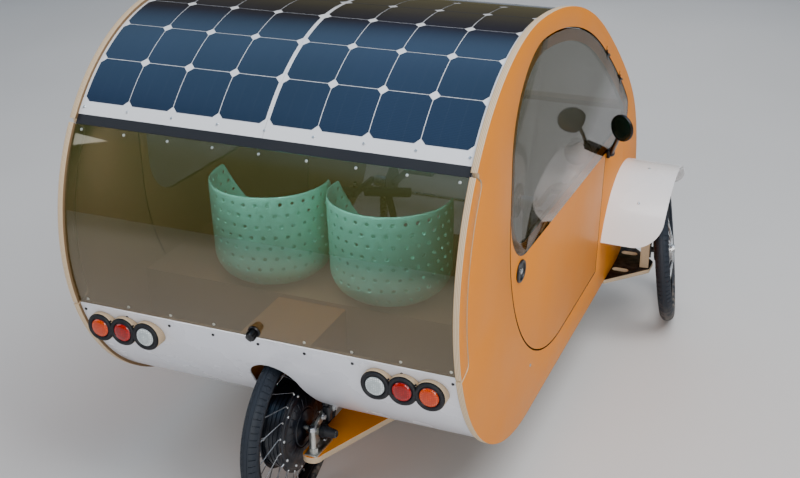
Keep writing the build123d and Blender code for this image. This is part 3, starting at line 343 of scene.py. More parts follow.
steel = plain_finish("bright_steel", (0.62, 0.63, 0.64), 0.24, metallic=1.0, scale=40.0, dull=0.25)
spoke_steel = plain_finish("dull_spoke_steel", (0.28, 0.29, 0.31), 0.35, metallic=1.0, scale=40.0)
zinc = plain_finish("zinc_plated_steel", (0.66, 0.66, 0.62), 0.32, metallic=1.0, scale=60.0, dull=0.3)
dark_screw = plain_finish("blackened_screw", (0.03, 0.03, 0.035), 0.35, metallic=0.8, scale=60.0)
mint = plain_finish("mint_plastic", (0.20, 0.78, 0.60), 0.3, strength=0.06, coat=0.2)
dark_wood = plain_finish("stained_wood_inside", (0.26, 0.115, 0.035), 0.5, scale=9.0, strength=0.3)
battery_case = plain_finish("battery_case", (0.02, 0.02, 0.022), 0.5, scale=10.0)
backsheet = plain_finish("white_backsheet", (0.82, 0.83, 0.86), 0.16, strength=0.04, dull=0.06, coat=0.8)
print("finishes so far", len(bpy.data.materials))

# %% [markdown]
# Smoked windows are thin plastic: they tint what is behind them and mirror the sky. A part-transparent
# Principled surface does both. Its alpha lets the cabin show; low roughness, coat and index of refraction
# give the mirror. The hatch has a high index, because the real one mirrors like film.

# %% Smoked windows
def smoked_window(name, low_colour, high_colour, clear, index=1.55, coat=1.0):
    material, tree, shader = new_material(name)
    wear = use_group(tree, wear_group, Scale=2.2, Strength=0.25)
    place = put(tree, "ShaderNodeTexCoord").outputs["Object"]
    height = part_of(tree, place, "Z")
    # The colour is bronze low down and a lighter olive high up. The bronze is the plastic's tint; the lighter
    # top is a painted reflection of the sky.
    colour = blend_colour(tree, ramp(tree, height, 0.60, 1.05), (*low_colour, 1), (*high_colour, 1))
    rough = calc(tree, "MULTIPLY_ADD", wear["Dull"], 0.04, 0.02)
    alpha = calc(tree, "MULTIPLY", wear["Tone"], 1.0 - clear)
    fill(tree, shader, {"Base Color": tint(tree, colour, wear["Tone"]), "Roughness": rough, "Alpha": alpha,
                        "IOR": index, "Specular Tint": (0.88, 0.78, 0.54, 1), "Coat Weight": coat,
                        "Coat Roughness": 0.02})
    return material


hatch_tint = smoked_window("bronze_hatch_window", (0.055, 0.036, 0.016), (0.055, 0.064, 0.026), 0.45, 2.2)
door_tint = smoked_window("bronze_door_window", (0.045, 0.038, 0.020), (0.060, 0.058, 0.032), 0.40, 1.45,
                          coat=0.0)
screen_tint = smoked_window("bronze_windscreen", (0.070, 0.056, 0.030), (0.085, 0.075, 0.045), 0.58, coat=0.5)

# %% [markdown]
# A lamp lens is coloured plastic with a pattern of small prisms moulded on its inside. Cells of a
# Voronoi texture give the prisms, as bump and as lighter centres.

# %% Lamp lenses
def lens_finish(name, colour, bright):
    material, tree, shader = new_material(name)
    place = put(tree, "ShaderNodeTexCoord").outputs["Object"]
    prisms = put(tree, "ShaderNodeTexVoronoi", {"Vector": place, "Scale": 210.0, "Randomness": 0.15})
    glow = ramp(tree, prisms.outputs["Distance"], 0.15, 0.6, 1.0, 0.0)
    fill(tree, shader, {"Base Color": blend_colour(tree, glow, (*colour, 1), (*bright, 1)),
                        "Normal": bump(tree, prisms.outputs["Distance"], 0.6, 0.0008), "Roughness": 0.12,
                        "Coat Weight": 0.4, "Coat Roughness": 0.03})
    return material


red_lens = lens_finish("red_lens", (0.26, 0.001, 0.001), (0.62, 0.003, 0.002))
amber_lens = lens_finish("amber_lens", (0.50, 0.036, 0.000), (0.80, 0.085, 0.001))
clear_lens = lens_finish("clear_lens", (0.42, 0.47, 0.48), (0.85, 0.9, 0.9))
reflector_orange = lens_finish("orange_reflector", (0.85, 0.22, 0.02), (0.95, 0.35, 0.05))

# %% [markdown]
# Solar cells are drawn from their own UV map, where one unit is one cell. Thin silver fingers run across
# a nearly black blue silicon face. A clear coat on top is the panel's film.

# %% Solar cells
def cell_finish():
    material, tree, shader = new_material("solar_cell")
    place = put(tree, "ShaderNodeUVMap", uv_map="cell").outputs[0]
    parts = put(tree, "ShaderNodeSeparateXYZ", {0: place})
    fingers = calc(tree, "PINGPONG", calc(tree, "MULTIPLY", parts.outputs["Y"], 62.0), 1.0)
    thin = ramp(tree, fingers, 0.0, 0.30, 1.0, 0.0)
    bus = calc(tree, "PINGPONG", calc(tree, "MULTIPLY", parts.outputs["X"], 3.0), 0.5)
    wide = ramp(tree, bus, 0.0, 0.012, 1.0, 0.0)
    wear = use_group(tree, wear_group, Scale=1.6, Strength=0.5)
    silicon = blend_colour(tree, wear["Dull"], (0.0022, 0.0045, 0.020, 1), (0.0045, 0.0085, 0.034, 1))
    lined = blend_colour(tree, calc(tree, "MULTIPLY", thin, 0.05), silicon, (0.25, 0.30, 0.42, 1))
    lined = blend_colour(tree, calc(tree, "MULTIPLY", wide, 0.05), lined, (0.30, 0.34, 0.42, 1))
    rough = calc(tree, "MULTIPLY_ADD", wear["Dull"], 0.05, 0.10)
    fill(tree, shader, {"Base Color": lined, "Roughness": rough, "Specular IOR Level": 0.3,
                        "Coat Weight": 1.0, "Coat Roughness": 0.03})
    return material


silicon = cell_finish()

# %% [markdown]
# All new pieces go through one function. It smooths gentle bends, keeps real corners sharp, hangs the
# piece on the CAD body it moves with, and hides the CAD node, if any, that it stands in for.

# %% Helpers for pieces
made = []


def piece(bm, name, material, body, slot=None, replaces=(), crease=35.0, closed=True):
    if closed:
        bmesh.ops.recalc_face_normals(bm, faces=bm.faces)
    mesh = bpy.data.meshes.new(name)
    bm.to_mesh(mesh)
    bm.free()
    mesh.polygons.foreach_set("use_smooth", [True] * len(mesh.polygons))
    mesh.set_sharp_from_angle(angle=math.radians(crease))
    mesh.materials.append(material)
    thing = add_object(name, mesh)
    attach(thing, body)
    if replaces:
        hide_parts(*replaces)
    made.append(thing)
    return thing


def finish_node(material, *names):
    for name in names:
        mesh = nodes[name].data
        mesh.materials.clear()
        mesh.materials.append(material)


def merged_copy(node):
    """The mesh of a CAD piece, its faces joined where they meet."""
    bm = bmesh.new()
    bm.from_mesh(nodes[node].data)
    bmesh.ops.remove_doubles(bm, verts=bm.verts, dist=1e-5)
    return bm


def eased_copy(node, name, material, body, radius, slot=None, segments=2):
    """A CAD board with its sharp edges rounded off, in place of the plain one."""
    bm = merged_copy(node)
    bmesh.ops.dissolve_limit(bm, angle_limit=math.radians(0.8), verts=bm.verts, edges=bm.edges)
    sharp = [e for e in bm.edges if len(e.link_faces) == 2 and e.calc_face_angle() > math.radians(40)]
    bmesh.ops.bevel(bm, geom=sharp, offset=radius, offset_type="OFFSET", segments=segments, profile=0.5,
                    affect="EDGES", material=-1, clamp_overlap=True)
    bmesh.ops.triangulate(bm, faces=[f for f in bm.faces if len(f.verts) > 4])
    return piece(bm, name, material, body, slot, (node,), closed=False)


def join_part(bm, part, place=None):
    """Adds a finished part to a larger mesh, at its place."""
    if place is not None:
        bmesh.ops.transform(part, matrix=place, verts=part.verts)
    scratch = bpy.data.meshes.new("scratch")
    part.to_mesh(scratch)
    part.free()
    bm.from_mesh(scratch)
    bpy.data.meshes.remove(scratch)


def draw_outline(bm, outline):
    """A closed outline of (distance along X, radius) points, to be spun about the X axis."""
    corners = [bm.verts.new((x, 0, radius)) for x, radius in outline]
    return corners + [bm.edges.new(pair) for pair in zip(corners, corners[1:] + corners[:1])]


def spun(bm, outline, steps, place=None):
    """An outline turned once about the X axis."""
    part = bmesh.new()
    bmesh.ops.spin(part, geom=draw_outline(part, outline), cent=(0, 0, 0), axis=(1, 0, 0), angle=math.tau,
                   steps=steps, use_merge=True)
    bmesh.ops.remove_doubles(part, verts=part.verts, dist=1e-6)
    bmesh.ops.recalc_face_normals(part, faces=part.faces)
    join_part(bm, part, place)


def spun_piece(name, outline, steps, places, *rest, **settings):
    """A piece of its own: one outline, spun at each of its places."""
    bm = bmesh.new()
    for place in places:
        spun(bm, outline, steps, place)
    return piece(bm, name, *rest, **settings)


def rod(bm, start, end, radius, sides=12, taper=1.0):
    """A round bar between two points."""
    run = Vector(end) - Vector(start)
    turn = run.to_track_quat("Z", "Y").to_matrix().to_4x4()
    place = Matrix.Translation((Vector(start) + Vector(end)) / 2) @ turn
    bmesh.ops.create_cone(bm, cap_ends=True, segments=sides, radius1=radius, radius2=radius * taper,
                          depth=run.length, matrix=place)


def rounded_block(size, radius):
    """A box with rounded edges, as a mesh of its own."""
    block = bmesh.new()
    bmesh.ops.create_cube(block, size=1.0, matrix=Matrix.Diagonal((*size, 1)))
    bmesh.ops.bevel(block, geom=block.edges[:], offset=radius, segments=3, profile=0.5, affect="EDGES",
                    material=-1)
    return block


def standing(spot, outward):
    """The frame at a spot on a surface whose X axis points straight out of it."""
    return Matrix.Translation(Vector(spot)) @ Vector(outward).to_track_quat("X", "Z").to_matrix().to_4x4()


def screw_head(bm, spot, outward, radius, height, steps=12):
    """A low button head with a socket, standing on a surface."""
    outline = [(-0.0002, 0), (-0.0002, radius), (height * 0.45, radius), (height, radius * 0.68),
               (height, radius * 0.36), (height * 0.5, radius * 0.34), (height * 0.5, 0)]
    spun(bm, outline, steps, standing(spot, outward))


def hex_nut(bm, spot, outward, radius, height, washer=1.45):
    """A six-sided nut on a round washer."""
    turn = Vector(outward).to_track_quat("Z", "Y").to_matrix().to_4x4()
    base = Matrix.Translation(Vector(spot)) @ turn
    for sides, low, high, thick, middle in ((24, washer, washer, 0.2, 0.1), (6, 1, 1, 0.75, 0.57),
                                            (6, 1, 0.86, 0.1, 0.99)):
        bmesh.ops.create_cone(bm, cap_ends=True, segments=sides, radius1=radius * low, radius2=radius * high,
                              depth=height * thick, matrix=base @ Matrix.Translation((0, 0, height * middle)))


# %% [markdown]
# The plywood parts come first: the two sides, the doors, the hatch strips, the lamp boards, the axle
# boards and uprights, and the rear swingarm. Copies of the CAD boards get a small radius on each sharp
# edge, which catches the light the way sanded plywood does. The other CAD pieces only get a finish.

# %% Plywood boards
for hand in ("left", "right"):
    eased_copy("side_panel_" + hand, "side_board_" + hand, orange_side, "body", 0.0012, "orange_ply")
    eased_copy("door_panel_" + hand, "door_board_" + hand, orange_door, "door_" + hand, 0.0012, "orange_ply")
    eased_copy("lower_arm_" + hand, "lower_board_" + hand, black_deck, "body", 0.0012, "bare_ply")
    eased_copy("upper_arm_" + hand, "upper_board_" + hand, black_deck, "body", 0.0010, "bare_ply")
    eased_copy("upright_" + hand, "upright_block_" + hand, upright_wood, "knuckle_" + hand, 0.0020,
               "bare_ply")
eased_copy("hatch_side_strips", "hatch_strips", orange_side, "hatch", 0.0012, "orange_ply")
eased_copy("rear_swingarm", "swingarm_board", orange_deck, "body", 0.0020, "bare_ply", 3)
eased_copy("tail_lamp_boards", "lamp_boards", black_lamp_board, "body", 0.0012, "black_plastic")
finish_node(dark_wood, "wheel_well")
finish_node(wood_frame, "cross_beams", "seat_base", "belly_panel")
finish_node(skirt_white, "rear_skirt", "nose_panel")
finish_node(backsheet, "solar_roof_left", "solar_roof_right")
finish_node(rubber, "hinge_strip")
finish_node(hatch_tint, "hatch_window")
finish_node(door_tint, "door_glass_left", "door_glass_right")
finish_node(screen_tint, "windscreen")
finish_node(steel, "tie_rod", "floor_brackets", "front_hub_left", "front_hub_right")
finish_node(spoke_steel, "spokes_rear")
finish_node(black_metal, "stub_axle_left", "stub_axle_right", "steering_lever")
finish_node(black_metal, "crankset_left", "crankset_right")
finish_node(rim_black, "rim_rear", "rim_front_left", "rim_front_right")
finish_node(zinc, "rear_dropouts")
finish_node(battery_case, "battery_block")
finish_node(fender_white, "front_fender_left", "front_fender_right")

# %% [markdown]
# The roof is one curve in side view: a piece of the big rear circle, then three flatter arcs and a
# tighter one at the nose. Cells are easiest to draw flat, so they are drawn on a flat sheet and then
# laid on the curve: the distance along the sheet becomes the distance along the arcs.

# %% The roof's curve
roof_start = 37.6
first_cell_angle = 41.3
roof_arcs = ((1.375, 30.0), (3.300, 7.0), (1.150, 9.0), (0.485, 44.0))
rear_run = skin_radius * math.radians(90 - roof_start)
sheet_inset = 0.008


def roof_at(distance):
    """The point and outward direction (y, z) on the roof's outside, this far from its rear edge."""
    if distance <= rear_run:
        angle = math.radians(roof_start) + distance / skin_radius
        out = (math.cos(angle), math.sin(angle))
        return (centre_y + skin_radius * out[0], centre_z + skin_radius * out[1]), out
    left = distance - rear_run
    y, z, heading = centre_y, centre_z + skin_radius + sheet_inset, 0.0
    for radius, degrees in roof_arcs:
        turn = min(left / (radius - sheet_inset), math.radians(degrees))
        y -= radius * (math.sin(heading + turn) - math.sin(heading))
        z -= radius * (math.cos(heading) - math.cos(heading + turn))
        heading += turn
        left -= turn * (radius - sheet_inset)
        if left <= 1e-9:
            break
    out = (-math.sin(heading), math.cos(heading))
    return (y - sheet_inset * out[0], z - sheet_inset * out[1]), out


def lay_on_roof(bm):
    """Bends a flat drawing (x across, y along, z above the sheet) onto the roof."""
    for vertex in bm.verts:
        x, along, lift = vertex.co
        (y, z), out = roof_at(along)
        vertex.co = (x, y + lift * out[0], z + lift * out[1])


# %% [markdown]
# Each panel has four columns of cells. The wafers were cut from round ingots, so their corners are
# missing, and the white sheet shows there as small diamonds.

# %% Lay the cells
cell_size = 0.125
cell_pitch = 0.127
cell_corner = 0.0126
cell_rows = 8
cell_columns = 4
first_cell_x = 0.0056
first_cell_run = skin_radius * math.radians(first_cell_angle - roof_start)
cell_lift = 0.0005

wafer = bmesh.new()
sheet = wafer.loops.layers.uv.new("cell")
grid = bmesh.ops.create_grid(wafer, x_segments=1, y_segments=1, size=cell_size / 2)
bmesh.ops.bevel(wafer, geom=grid["verts"], offset=cell_corner, segments=1, profile=0.5, affect="VERTICES",
                material=-1)
for cut in range(-3, 4):
    whole = wafer.faces[:] + wafer.edges[:] + wafer.verts[:]
    bmesh.ops.bisect_plane(wafer, geom=whole, dist=1e-6, plane_co=(0, cut * cell_size / 8, 0),
                           plane_no=(0, 1, 0))
for loop in (loop for face in wafer.faces for loop in face.loops):
    loop[sheet].uv = (loop.vert.co.x / cell_size + 0.5, loop.vert.co.y / cell_size + 0.5)
bmesh.ops.solidify(wafer, geom=wafer.faces[:], thickness=cell_lift)
one_cell = bpy.data.meshes.new("one_cell")
wafer.to_mesh(one_cell)
wafer.free()

for side, hand in two_sides:
    bm = bmesh.new()
    for column in range(cell_columns):
        for row in range(cell_rows):
            before = len(bm.verts)
            bm.from_mesh(one_cell)
            bm.verts.ensure_lookup_table()
            x = side * (first_cell_x + cell_size / 2 + column * cell_pitch)
            along = first_cell_run + cell_size / 2 + row * cell_pitch
            bmesh.ops.translate(bm, verts=bm.verts[before:], vec=(x, along, cell_lift))
    lay_on_roof(bm)
    piece(bm, "solar_cells_" + hand, silicon, "body", "solar_sheet", crease=20)
bpy.data.meshes.remove(one_cell)
roof_end = first_cell_run + cell_rows * cell_pitch
print("cells end", round(roof_end, 3), "m along the roof, at", [round(v, 3) for v in roof_at(roof_end)[0]])

# %% [markdown]
# A bicycle tyre is a tube with a tread cut across its shoulders. One pitch of the tread is enough to
# model: the outline is spun over half a block, the narrow groove and the other half, the groove's faces
# are pushed in, and a spin that duplicates sets 88 copies round the wheel.

# %% Tyres
blocks = 88
groove_width = 0.0024
groove_depth = 0.0016
groove_from, groove_to = 20, 75
rear_spokes = 18
front_spokes = 16
wheels = (("rear", rear_frame, rear_spokes), ("front_left", wheel_frame(1), front_spokes),
          ("front_right", wheel_frame(-1), front_spokes))


def tyre_outline():
    """Half the outline as (degrees from the crown, depth of a thin groove), then mirrored."""
    half = [(4, 0), (10, 0), (11.5, 0.0009), (14, 0.0009), (15.5, 0), (20, 0), (33, 0), (47, 0), (61, 0),
            (75, 0), (78, 0.0006), (80, 0.0006), (83, 0), (97, 0), (111, 0), (125, 0)]
    points = []
    for degrees, depth in [(-d, g) for d, g in reversed(half)] + half:
        angle = math.radians(degrees)
        reach = tyre_tube - depth
        points.append((reach * math.sin(angle), tube_centre + reach * math.cos(angle)))
    return points + [(0.0113, 0.2127), (0.0113, 0.205), (-0.0113, 0.205), (-0.0113, 0.2127)]


def tread_pitch():
    """One block of the tread with its groove, as a mesh."""
    part = bmesh.new()
    edge = draw_outline(part, tyre_outline())
    pitch = math.tau / blocks
    groove_turn = groove_width / (tyre_tube + tube_centre)
    block_turn = (pitch - groove_turn) / 2
    in_groove = []
    for turn, is_groove in ((block_turn, False), (groove_turn, True), (block_turn, False)):
        known = set(part.faces)
        spin = bmesh.ops.spin(part, geom=edge, cent=(0, 0, 0), axis=(1, 0, 0), angle=turn, steps=1)
        edge = spin["geom_last"]
        if is_groove:
            in_groove = [f for f in part.faces if f not in known]
    bmesh.ops.recalc_face_normals(part, faces=part.faces)
    for side in (-1, 1):
        shoulder = []
        for face in in_groove:
            middle = face.calc_center_median()
            from_tube = Vector((middle.y, middle.z)).length - tube_centre
            outwards = math.degrees(math.atan2(side * middle.x, from_tube))
            if groove_from < outwards < groove_to:
                shoulder.append(face)
        bmesh.ops.inset_region(part, faces=shoulder, thickness=0.0003, depth=-groove_depth,
                               use_even_offset=True)
    mesh = bpy.data.meshes.new("tread_pitch")
    part.to_mesh(mesh)
    part.free()
    return mesh


one_pitch = tread_pitch()
for label, place, spokes in wheels:
    bm = bmesh.new()
    bm.from_mesh(one_pitch)
    whole = bm.verts[:] + bm.edges[:] + bm.faces[:]
    bmesh.ops.spin(bm, geom=whole, cent=(0, 0, 0), axis=(1, 0, 0), angle=math.tau * (blocks - 1) / blocks,
                   steps=blocks - 1, use_duplicate=True)
    bmesh.ops.remove_doubles(bm, verts=bm.verts, dist=2e-5)
    bmesh.ops.transform(bm, matrix=place, verts=bm.verts)
    tyre = piece(bm, "tread_" + label, tread_rubber, "wheel_" + label, "tyre_black", ("tyre_" + label,),
                 crease=28)
    print("tread", label, len(tyre.data.polygons), "faces")

# %% [markdown]
# A spoke is screwed into a nipple that comes through the rim. The nipples stand where the CAD spokes
# end, which follows from the number of spokes and from how far each one leans round the hub.

# %% Spoke nipples and valves
spoke_lean = 20.0
rim_inner = 0.189
valve_angle = 0.3


def spoke_angles(count):
    """For both flanges: the side, the angle at the hub and the angle at the rim."""
    step = 360.0 / count
    for side in (-1, 1):
        for number in range(count):
            first = number * step + side * step / 4
            yield side, math.radians(first), math.radians(first + side * spoke_lean)


def round_hub(x, radius, angle):
    return Vector((x, radius * math.cos(angle), radius * math.sin(angle)))


for label, place, spokes in wheels:
    bm = bmesh.new()
    for side, first, last in spoke_angles(spokes):
        seat = round_hub(side * 0.0012, rim_inner + 0.001, last)
        rod(bm, seat, round_hub(side * 0.0030, rim_inner - 0.009, last), 0.0027, 8, 0.75)
    for outer, inner, radius, taper in ((0, 0.030, 0.0032, 1.0), (0.028, 0.036, 0.0042, 0.8)):
        start = round_hub(0, rim_inner - outer, valve_angle)
        rod(bm, start, round_hub(0, rim_inner - inner, valve_angle), radius, 12, taper)
    bmesh.ops.transform(bm, matrix=place, verts=bm.verts)
    piece(bm, "nipples_and_valve_" + label, steel, "wheel_" + label, "steel", crease=40)

# %% [markdown]
# The wheel motor is a black painted drum. Its two covers are held by screws round their rims, and a
# thin flange on each side carries the spoke heads. One outline spun round the axle gives drum, covers,
# cooling grooves and flanges together, and short bars are the ribs on the covers.

# %% Hub motor
half_outline = [(0.0450, 0.0083), (0.0450, 0.0285), (0.0436, 0.0312), (0.0405, 0.0500), (0.0385, 0.0515),
                (0.0378, 0.0545), (0.0392, 0.0565), (0.0338, 0.0850), (0.0322, 0.0890), (0.0320, 0.0960),
                (0.0322, 0.1110), (0.0312, 0.1135), (0.0292, 0.1150), (0.0290, 0.1240), (0.0280, 0.1250),
                (0.0260, 0.1250), (0.0250, 0.1240), (0.0250, 0.1150), (0.0200, 0.1148), (0.0195, 0.1130),
                (0.0165, 0.1130), (0.0160, 0.1148), (0.0075, 0.1148), (0.0070, 0.1130), (0.0040, 0.1130),
                (0.0035, 0.1148)]
rib_count = 24
cover_screw_count = 10
head_radius = 0.1205
bm = bmesh.new()
spun(bm, half_outline + [(-x, radius) for x, radius in reversed(half_outline)], 96, rear_frame)
for number in range(rib_count):
    turn = rear_frame @ Matrix.Rotation(math.tau * number / rib_count, 4, "X")
    for side in (-1, 1):
        rod(bm, turn @ Vector((side * 0.0370, 0, 0.060)), turn @ Vector((side * 0.0330, 0, 0.084)), 0.0021, 6)
piece(bm, "motor_drum", motor_shell, "wheel_rear", "dark_metal", ("hub_motor",), crease=32)

bm = bmesh.new()
for side in (-1, 1):
    for number in range(cover_screw_count):
        turn = Matrix.Rotation(math.tau * (number + 0.25 * side) / cover_screw_count, 4, "X")
        screw_head(bm, rear_frame @ turn @ Vector((side * 0.0320, 0, 0.1045)), (side, 0, 0), 0.0044, 0.0036)
for side, first, last in spoke_angles(rear_spokes):
    bend = rear_frame @ round_hub(side * 0.0306, head_radius, first)
    rod(bm, bend, rear_frame @ round_hub(side * 0.0276, head_radius + 0.007, first), 0.0014, 6)
    screw_head(bm, rear_frame @ round_hub(side * 0.0288, head_radius, first), (side, 0, 0), 0.0028, 0.0024, 8)
piece(bm, "motor_screws", steel, "wheel_rear", "steel", crease=40)

reflector_angle = math.radians(247)
bm = rounded_block((0.011, 0.030, 0.016), 0.0035)
place = rear_frame @ Matrix.Rotation(reflector_angle, 4, "X") @ Matrix.Translation((-0.012, 0.158, 0))
bmesh.ops.transform(bm, matrix=place, verts=bm.verts)
piece(bm, "spoke_reflector", reflector_orange, "wheel_rear", "amber_lens", crease=40)

# %% [markdown]
# The axle ends sit in plated brackets bolted to the swingarm. The brackets keep their CAD shape with
# eased edges. A black cap covers the axle's right end, and the brake's torque block hangs on the strut.

# %% Brackets, cap and torque block
eased_copy("rear_dropouts", "axle_brackets", zinc, "body", 0.0009, "steel")
strut_x = 0.080
swingarm_top = 0.198
rib_step = 0.0035
facing_right = rear_frame @ Matrix.Rotation(math.pi, 4, "Z")
bm = bmesh.new()
cap = [(0.0876, 0), (0.0876, 0.0175), (0.0905, 0.0180), (0.0990, 0.0172), (0.1040, 0.0160),
       (0.1270, 0.0118), (0.1315, 0.0103), (0.1335, 0.0075), (0.1338, 0)]
spun(bm, cap, 40, facing_right)
for step in range(3):
    rib = [(0.0935, 0.0170), (0.0940, 0.0186), (0.0955, 0.0184), (0.0960, 0.0168)]
    spun(bm, [(x + rib_step * step, radius) for x, radius in rib], 40, facing_right)
piece(bm, "axle_cap", rubber, "body", "black_rubber", crease=30)

bm = bmesh.new()
for size, spot in (((0.024, 0.036, 0.030), (-0.092, -0.047, 0.052)),
                   ((0.020, 0.020, 0.044), (-0.092, -0.030, 0.040)),
                   ((0.016, 0.044, 0.012), (-0.090, -0.040, 0.070))):
    join_part(bm, rounded_block(size, 0.004), rear_frame @ Matrix.Translation(spot))
piece(bm, "torque_block", black_metal, "body", "dark_metal", crease=40)

bm = bmesh.new()
hex_nut(bm, rear_frame @ Vector((-0.104, -0.046, 0.050)), (-1, 0, 0), 0.0072, 0.009)
hex_nut(bm, rear_frame @ Vector((-0.088, -0.010, 0.038)), (-1, 0, 0), 0.0068, 0.008)
for side in (-1, 1):
    hex_nut(bm, (side * strut_x, rear_hub.y + 0.036, 0.272), (0, 0, 1), 0.0105, 0.010, 1.2)
    hex_nut(bm, (side * 0.0875, rear_hub.y, rear_hub.z), (side, 0, 0), 0.0125, 0.010, 1.2)
    for back in (-0.030, 0.004):
        screw_head(bm, (side * strut_x, rear_hub.y + back, swingarm_top), across_swingarm, 0.0065, 0.005, 16)
piece(bm, "bracket_nuts", steel, "body", "steel")

# %% [markdown]
# Each side of the tail carries three round lamps on one plywood board: reversing, brake and turn lamp.
# Every lamp is a black rubber collar, a thin dark bezel and a domed lens. All three are spun outlines,
# first drawn along X and then turned to face the rear.

# %% Tail lamps
lamp_face_y = centre_y + 0.536
lamp_z = 0.532
lamp_middle_x = side_inner_x - 0.131
lamp_spacing = 0.0685
collar = [(-0.0006, 0.0262), (-0.0006, 0.0362), (0.0016, 0.0368), (0.0042, 0.0357), (0.0054, 0.0335),
          (0.0052, 0.0300), (0.0034, 0.0272), (0.0016, 0.0262)]
bezel = [(-0.0004, 0.0246), (-0.0004, 0.0268), (0.0036, 0.0267), (0.0044, 0.0258), (0.0036, 0.0248)]
dome = [(-0.0002, 0), (-0.0002, 0.0247), (0.0034, 0.0247), (0.0052, 0.0232), (0.0066, 0.0200),
        (0.0078, 0.0150), (0.0086, 0.0090), (0.0089, 0.0035), (0.0090, 0)]
facing_rear = Matrix.Rotation(math.pi / 2, 4, "Z")
every_lamp = []
for step, colour, glow in ((-1, "clear", clear_lens), (0, "red", red_lens), (1, "amber", amber_lens)):
    x = lamp_middle_x + step * lamp_spacing
    pair = [Matrix.Translation((side * x, lamp_face_y, lamp_z)) @ facing_rear for side in (-1, 1)]
    every_lamp += pair
    spun_piece("lamp_lens_" + colour, dome, 48, pair, glow, "body", colour + "_lens",
               ("tail_lens_" + colour,), crease=30)
spun_piece("lamp_collars", collar, 48, every_lamp, rubber, "body", "black_rubber", crease=40)
spun_piece("lamp_bezels", bezel, 48, every_lamp, dark_screw, "body", "steel", crease=40)
bm = bmesh.new()
for side in (-1, 1):
    for step in (-0.5, 0.5):
        x = side * (lamp_middle_x + step * lamp_spacing)
        screw_head(bm, (x, lamp_face_y, lamp_z + 0.0245), (0, 1, 0), 0.0028, 0.0022)
piece(bm, "lamp_screws", dark_screw, "body", "dark_metal", crease=40)

# %% [markdown]
# Rows of small screws hold the skins to their frames, about every 127 mm across the back, and one screw
# sits low on each side. A rear screw is placed by its height: on the rear circle a height gives one
# angle, and the angle gives the way out.

# %% Screws in the tail
def on_circle(x, angle, radius=skin_radius):
    """The spot on the rear circle at this angle, and the direction out of it."""
    out = Vector((0, math.cos(angle), math.sin(angle)))
    return Vector((x, centre_y, centre_z)) + out * radius, out


def on_rear(x, z):
    return on_circle(x, math.asin((z - centre_z) / skin_radius))


screw_pitch = 0.127
hatch_share = 0.98
hatch_top_row = 1.040
hatch_low_row = 0.607
skirt_row = 0.569
(roof_row_y, roof_row_z), roof_row_out = roof_at(0.019)
hatch_nuts, skirt_screws, roof_bolts = bmesh.new(), bmesh.new(), bmesh.new()
for step in range(-4, 5):
    x = screw_pitch * step
    if step:
        hex_nut(hatch_nuts, *on_rear(x * hatch_share - 0.01, hatch_low_row), 0.0030, 0.0026, 1.3)
    hex_nut(hatch_nuts, *on_rear(x * hatch_share, hatch_top_row), 0.0028, 0.0024, 1.3)
    screw_head(skirt_screws, *on_rear(x, skirt_row), 0.0040, 0.0026)
    screw_head(roof_bolts, (x, roof_row_y, roof_row_z), (0, *roof_row_out), 0.0036, 0.0022)
side_screws = bmesh.new()
for side in (-1, 1):
    screw_head(side_screws, (side * side_outer_x, centre_y - 0.016, 0.330), (side, 0, 0), 0.0048, 0.0026)
piece(side_screws, "side_screws", steel, "body", "steel", crease=40)
piece(hatch_nuts, "hatch_nuts", zinc, "hatch", "steel", crease=40)
piece(skirt_screws, "skirt_screws", dark_screw, "body", "dark_metal", crease=40)
piece(roof_bolts, "roof_bolts", steel, "body", "steel", crease=40)

# %% [markdown]
# The hatch is opened by a black turning knob on the middle of its lower edge. Six flutes make it easy
# to grip: a cylinder whose side faces are inset and pushed in by turns.

# %% Hatch knob
knob_angle = math.radians(-13.4)
knob_place = standing(*on_circle(0, knob_angle, skin_radius + 0.0005))
bm = bmesh.new()
foot = [(0, 0), (0, 0.0165), (0.0030, 0.0165), (0.0052, 0.0145), (0.0056, 0.0100), (0.0056, 0)]
spun(bm, foot, 32, knob_place)
grip = bmesh.new()
bmesh.ops.create_cone(grip, cap_ends=True, segments=36, radius1=0.0125, radius2=0.0118, depth=0.0195)
side_faces = [f for f in grip.faces if len(f.verts) == 4]
side_faces.sort(key=lambda f: math.atan2(*f.calc_center_median().yx))
for first in range(0, len(side_faces), 6):
    flute = side_faces[first:first + 3]
    bmesh.ops.inset_region(grip, faces=flute, thickness=0.0006, depth=-0.0022)
caps = [e for f in grip.faces if len(f.verts) > 8 for e in f.edges]
bmesh.ops.bevel(grip, geom=caps, offset=0.0012, segments=2, profile=0.5, affect="EDGES", material=-1)
join_part(bm, grip, knob_place @ Matrix.Translation((0.0162, 0, 0)) @ Matrix.Rotation(math.pi / 2, 4, "Y"))
spun(bm, [(0.0250, 0), (0.0250, 0.0060), (0.0262, 0.0058), (0.0272, 0.0040), (0.0274, 0)], 24, knob_place)
bmesh.ops.remove_doubles(bm, verts=bm.verts, dist=1e-6)
piece(bm, "hatch_turning_knob", black_plastic, "hatch", "black_plastic", ("hatch_knob",), crease=32)

# %% [markdown]
# The door's window is let into the panel flush with its face. The CAD node holds pane and hinge halves
# in one solid, so a merged copy is split: faces that stand further out than the pane, and those joined
# to them, are hinge.

# %% Door windows and hinges
def split_copy(node, side, keep_outside):
    bm = merged_copy(node)
    hinge_faces = set()
    for start in bm.faces:
        if start in hinge_faces or side * start.calc_center_median().x < side_outer_x + 0.0002:
            continue
        waiting = [start]
        hinge_faces.add(start)
        while waiting:
            for other in {f for e in waiting.pop().edges for f in e.link_faces} - hinge_faces:
                if side * other.calc_center_median().x > side_outer_x + 0.0001:
                    hinge_faces.add(other)
                    waiting.append(other)
    doomed = [f for f in bm.faces if (f in hinge_faces) != keep_outside]
    bmesh.ops.delete(bm, geom=doomed, context="FACES")
    return bm


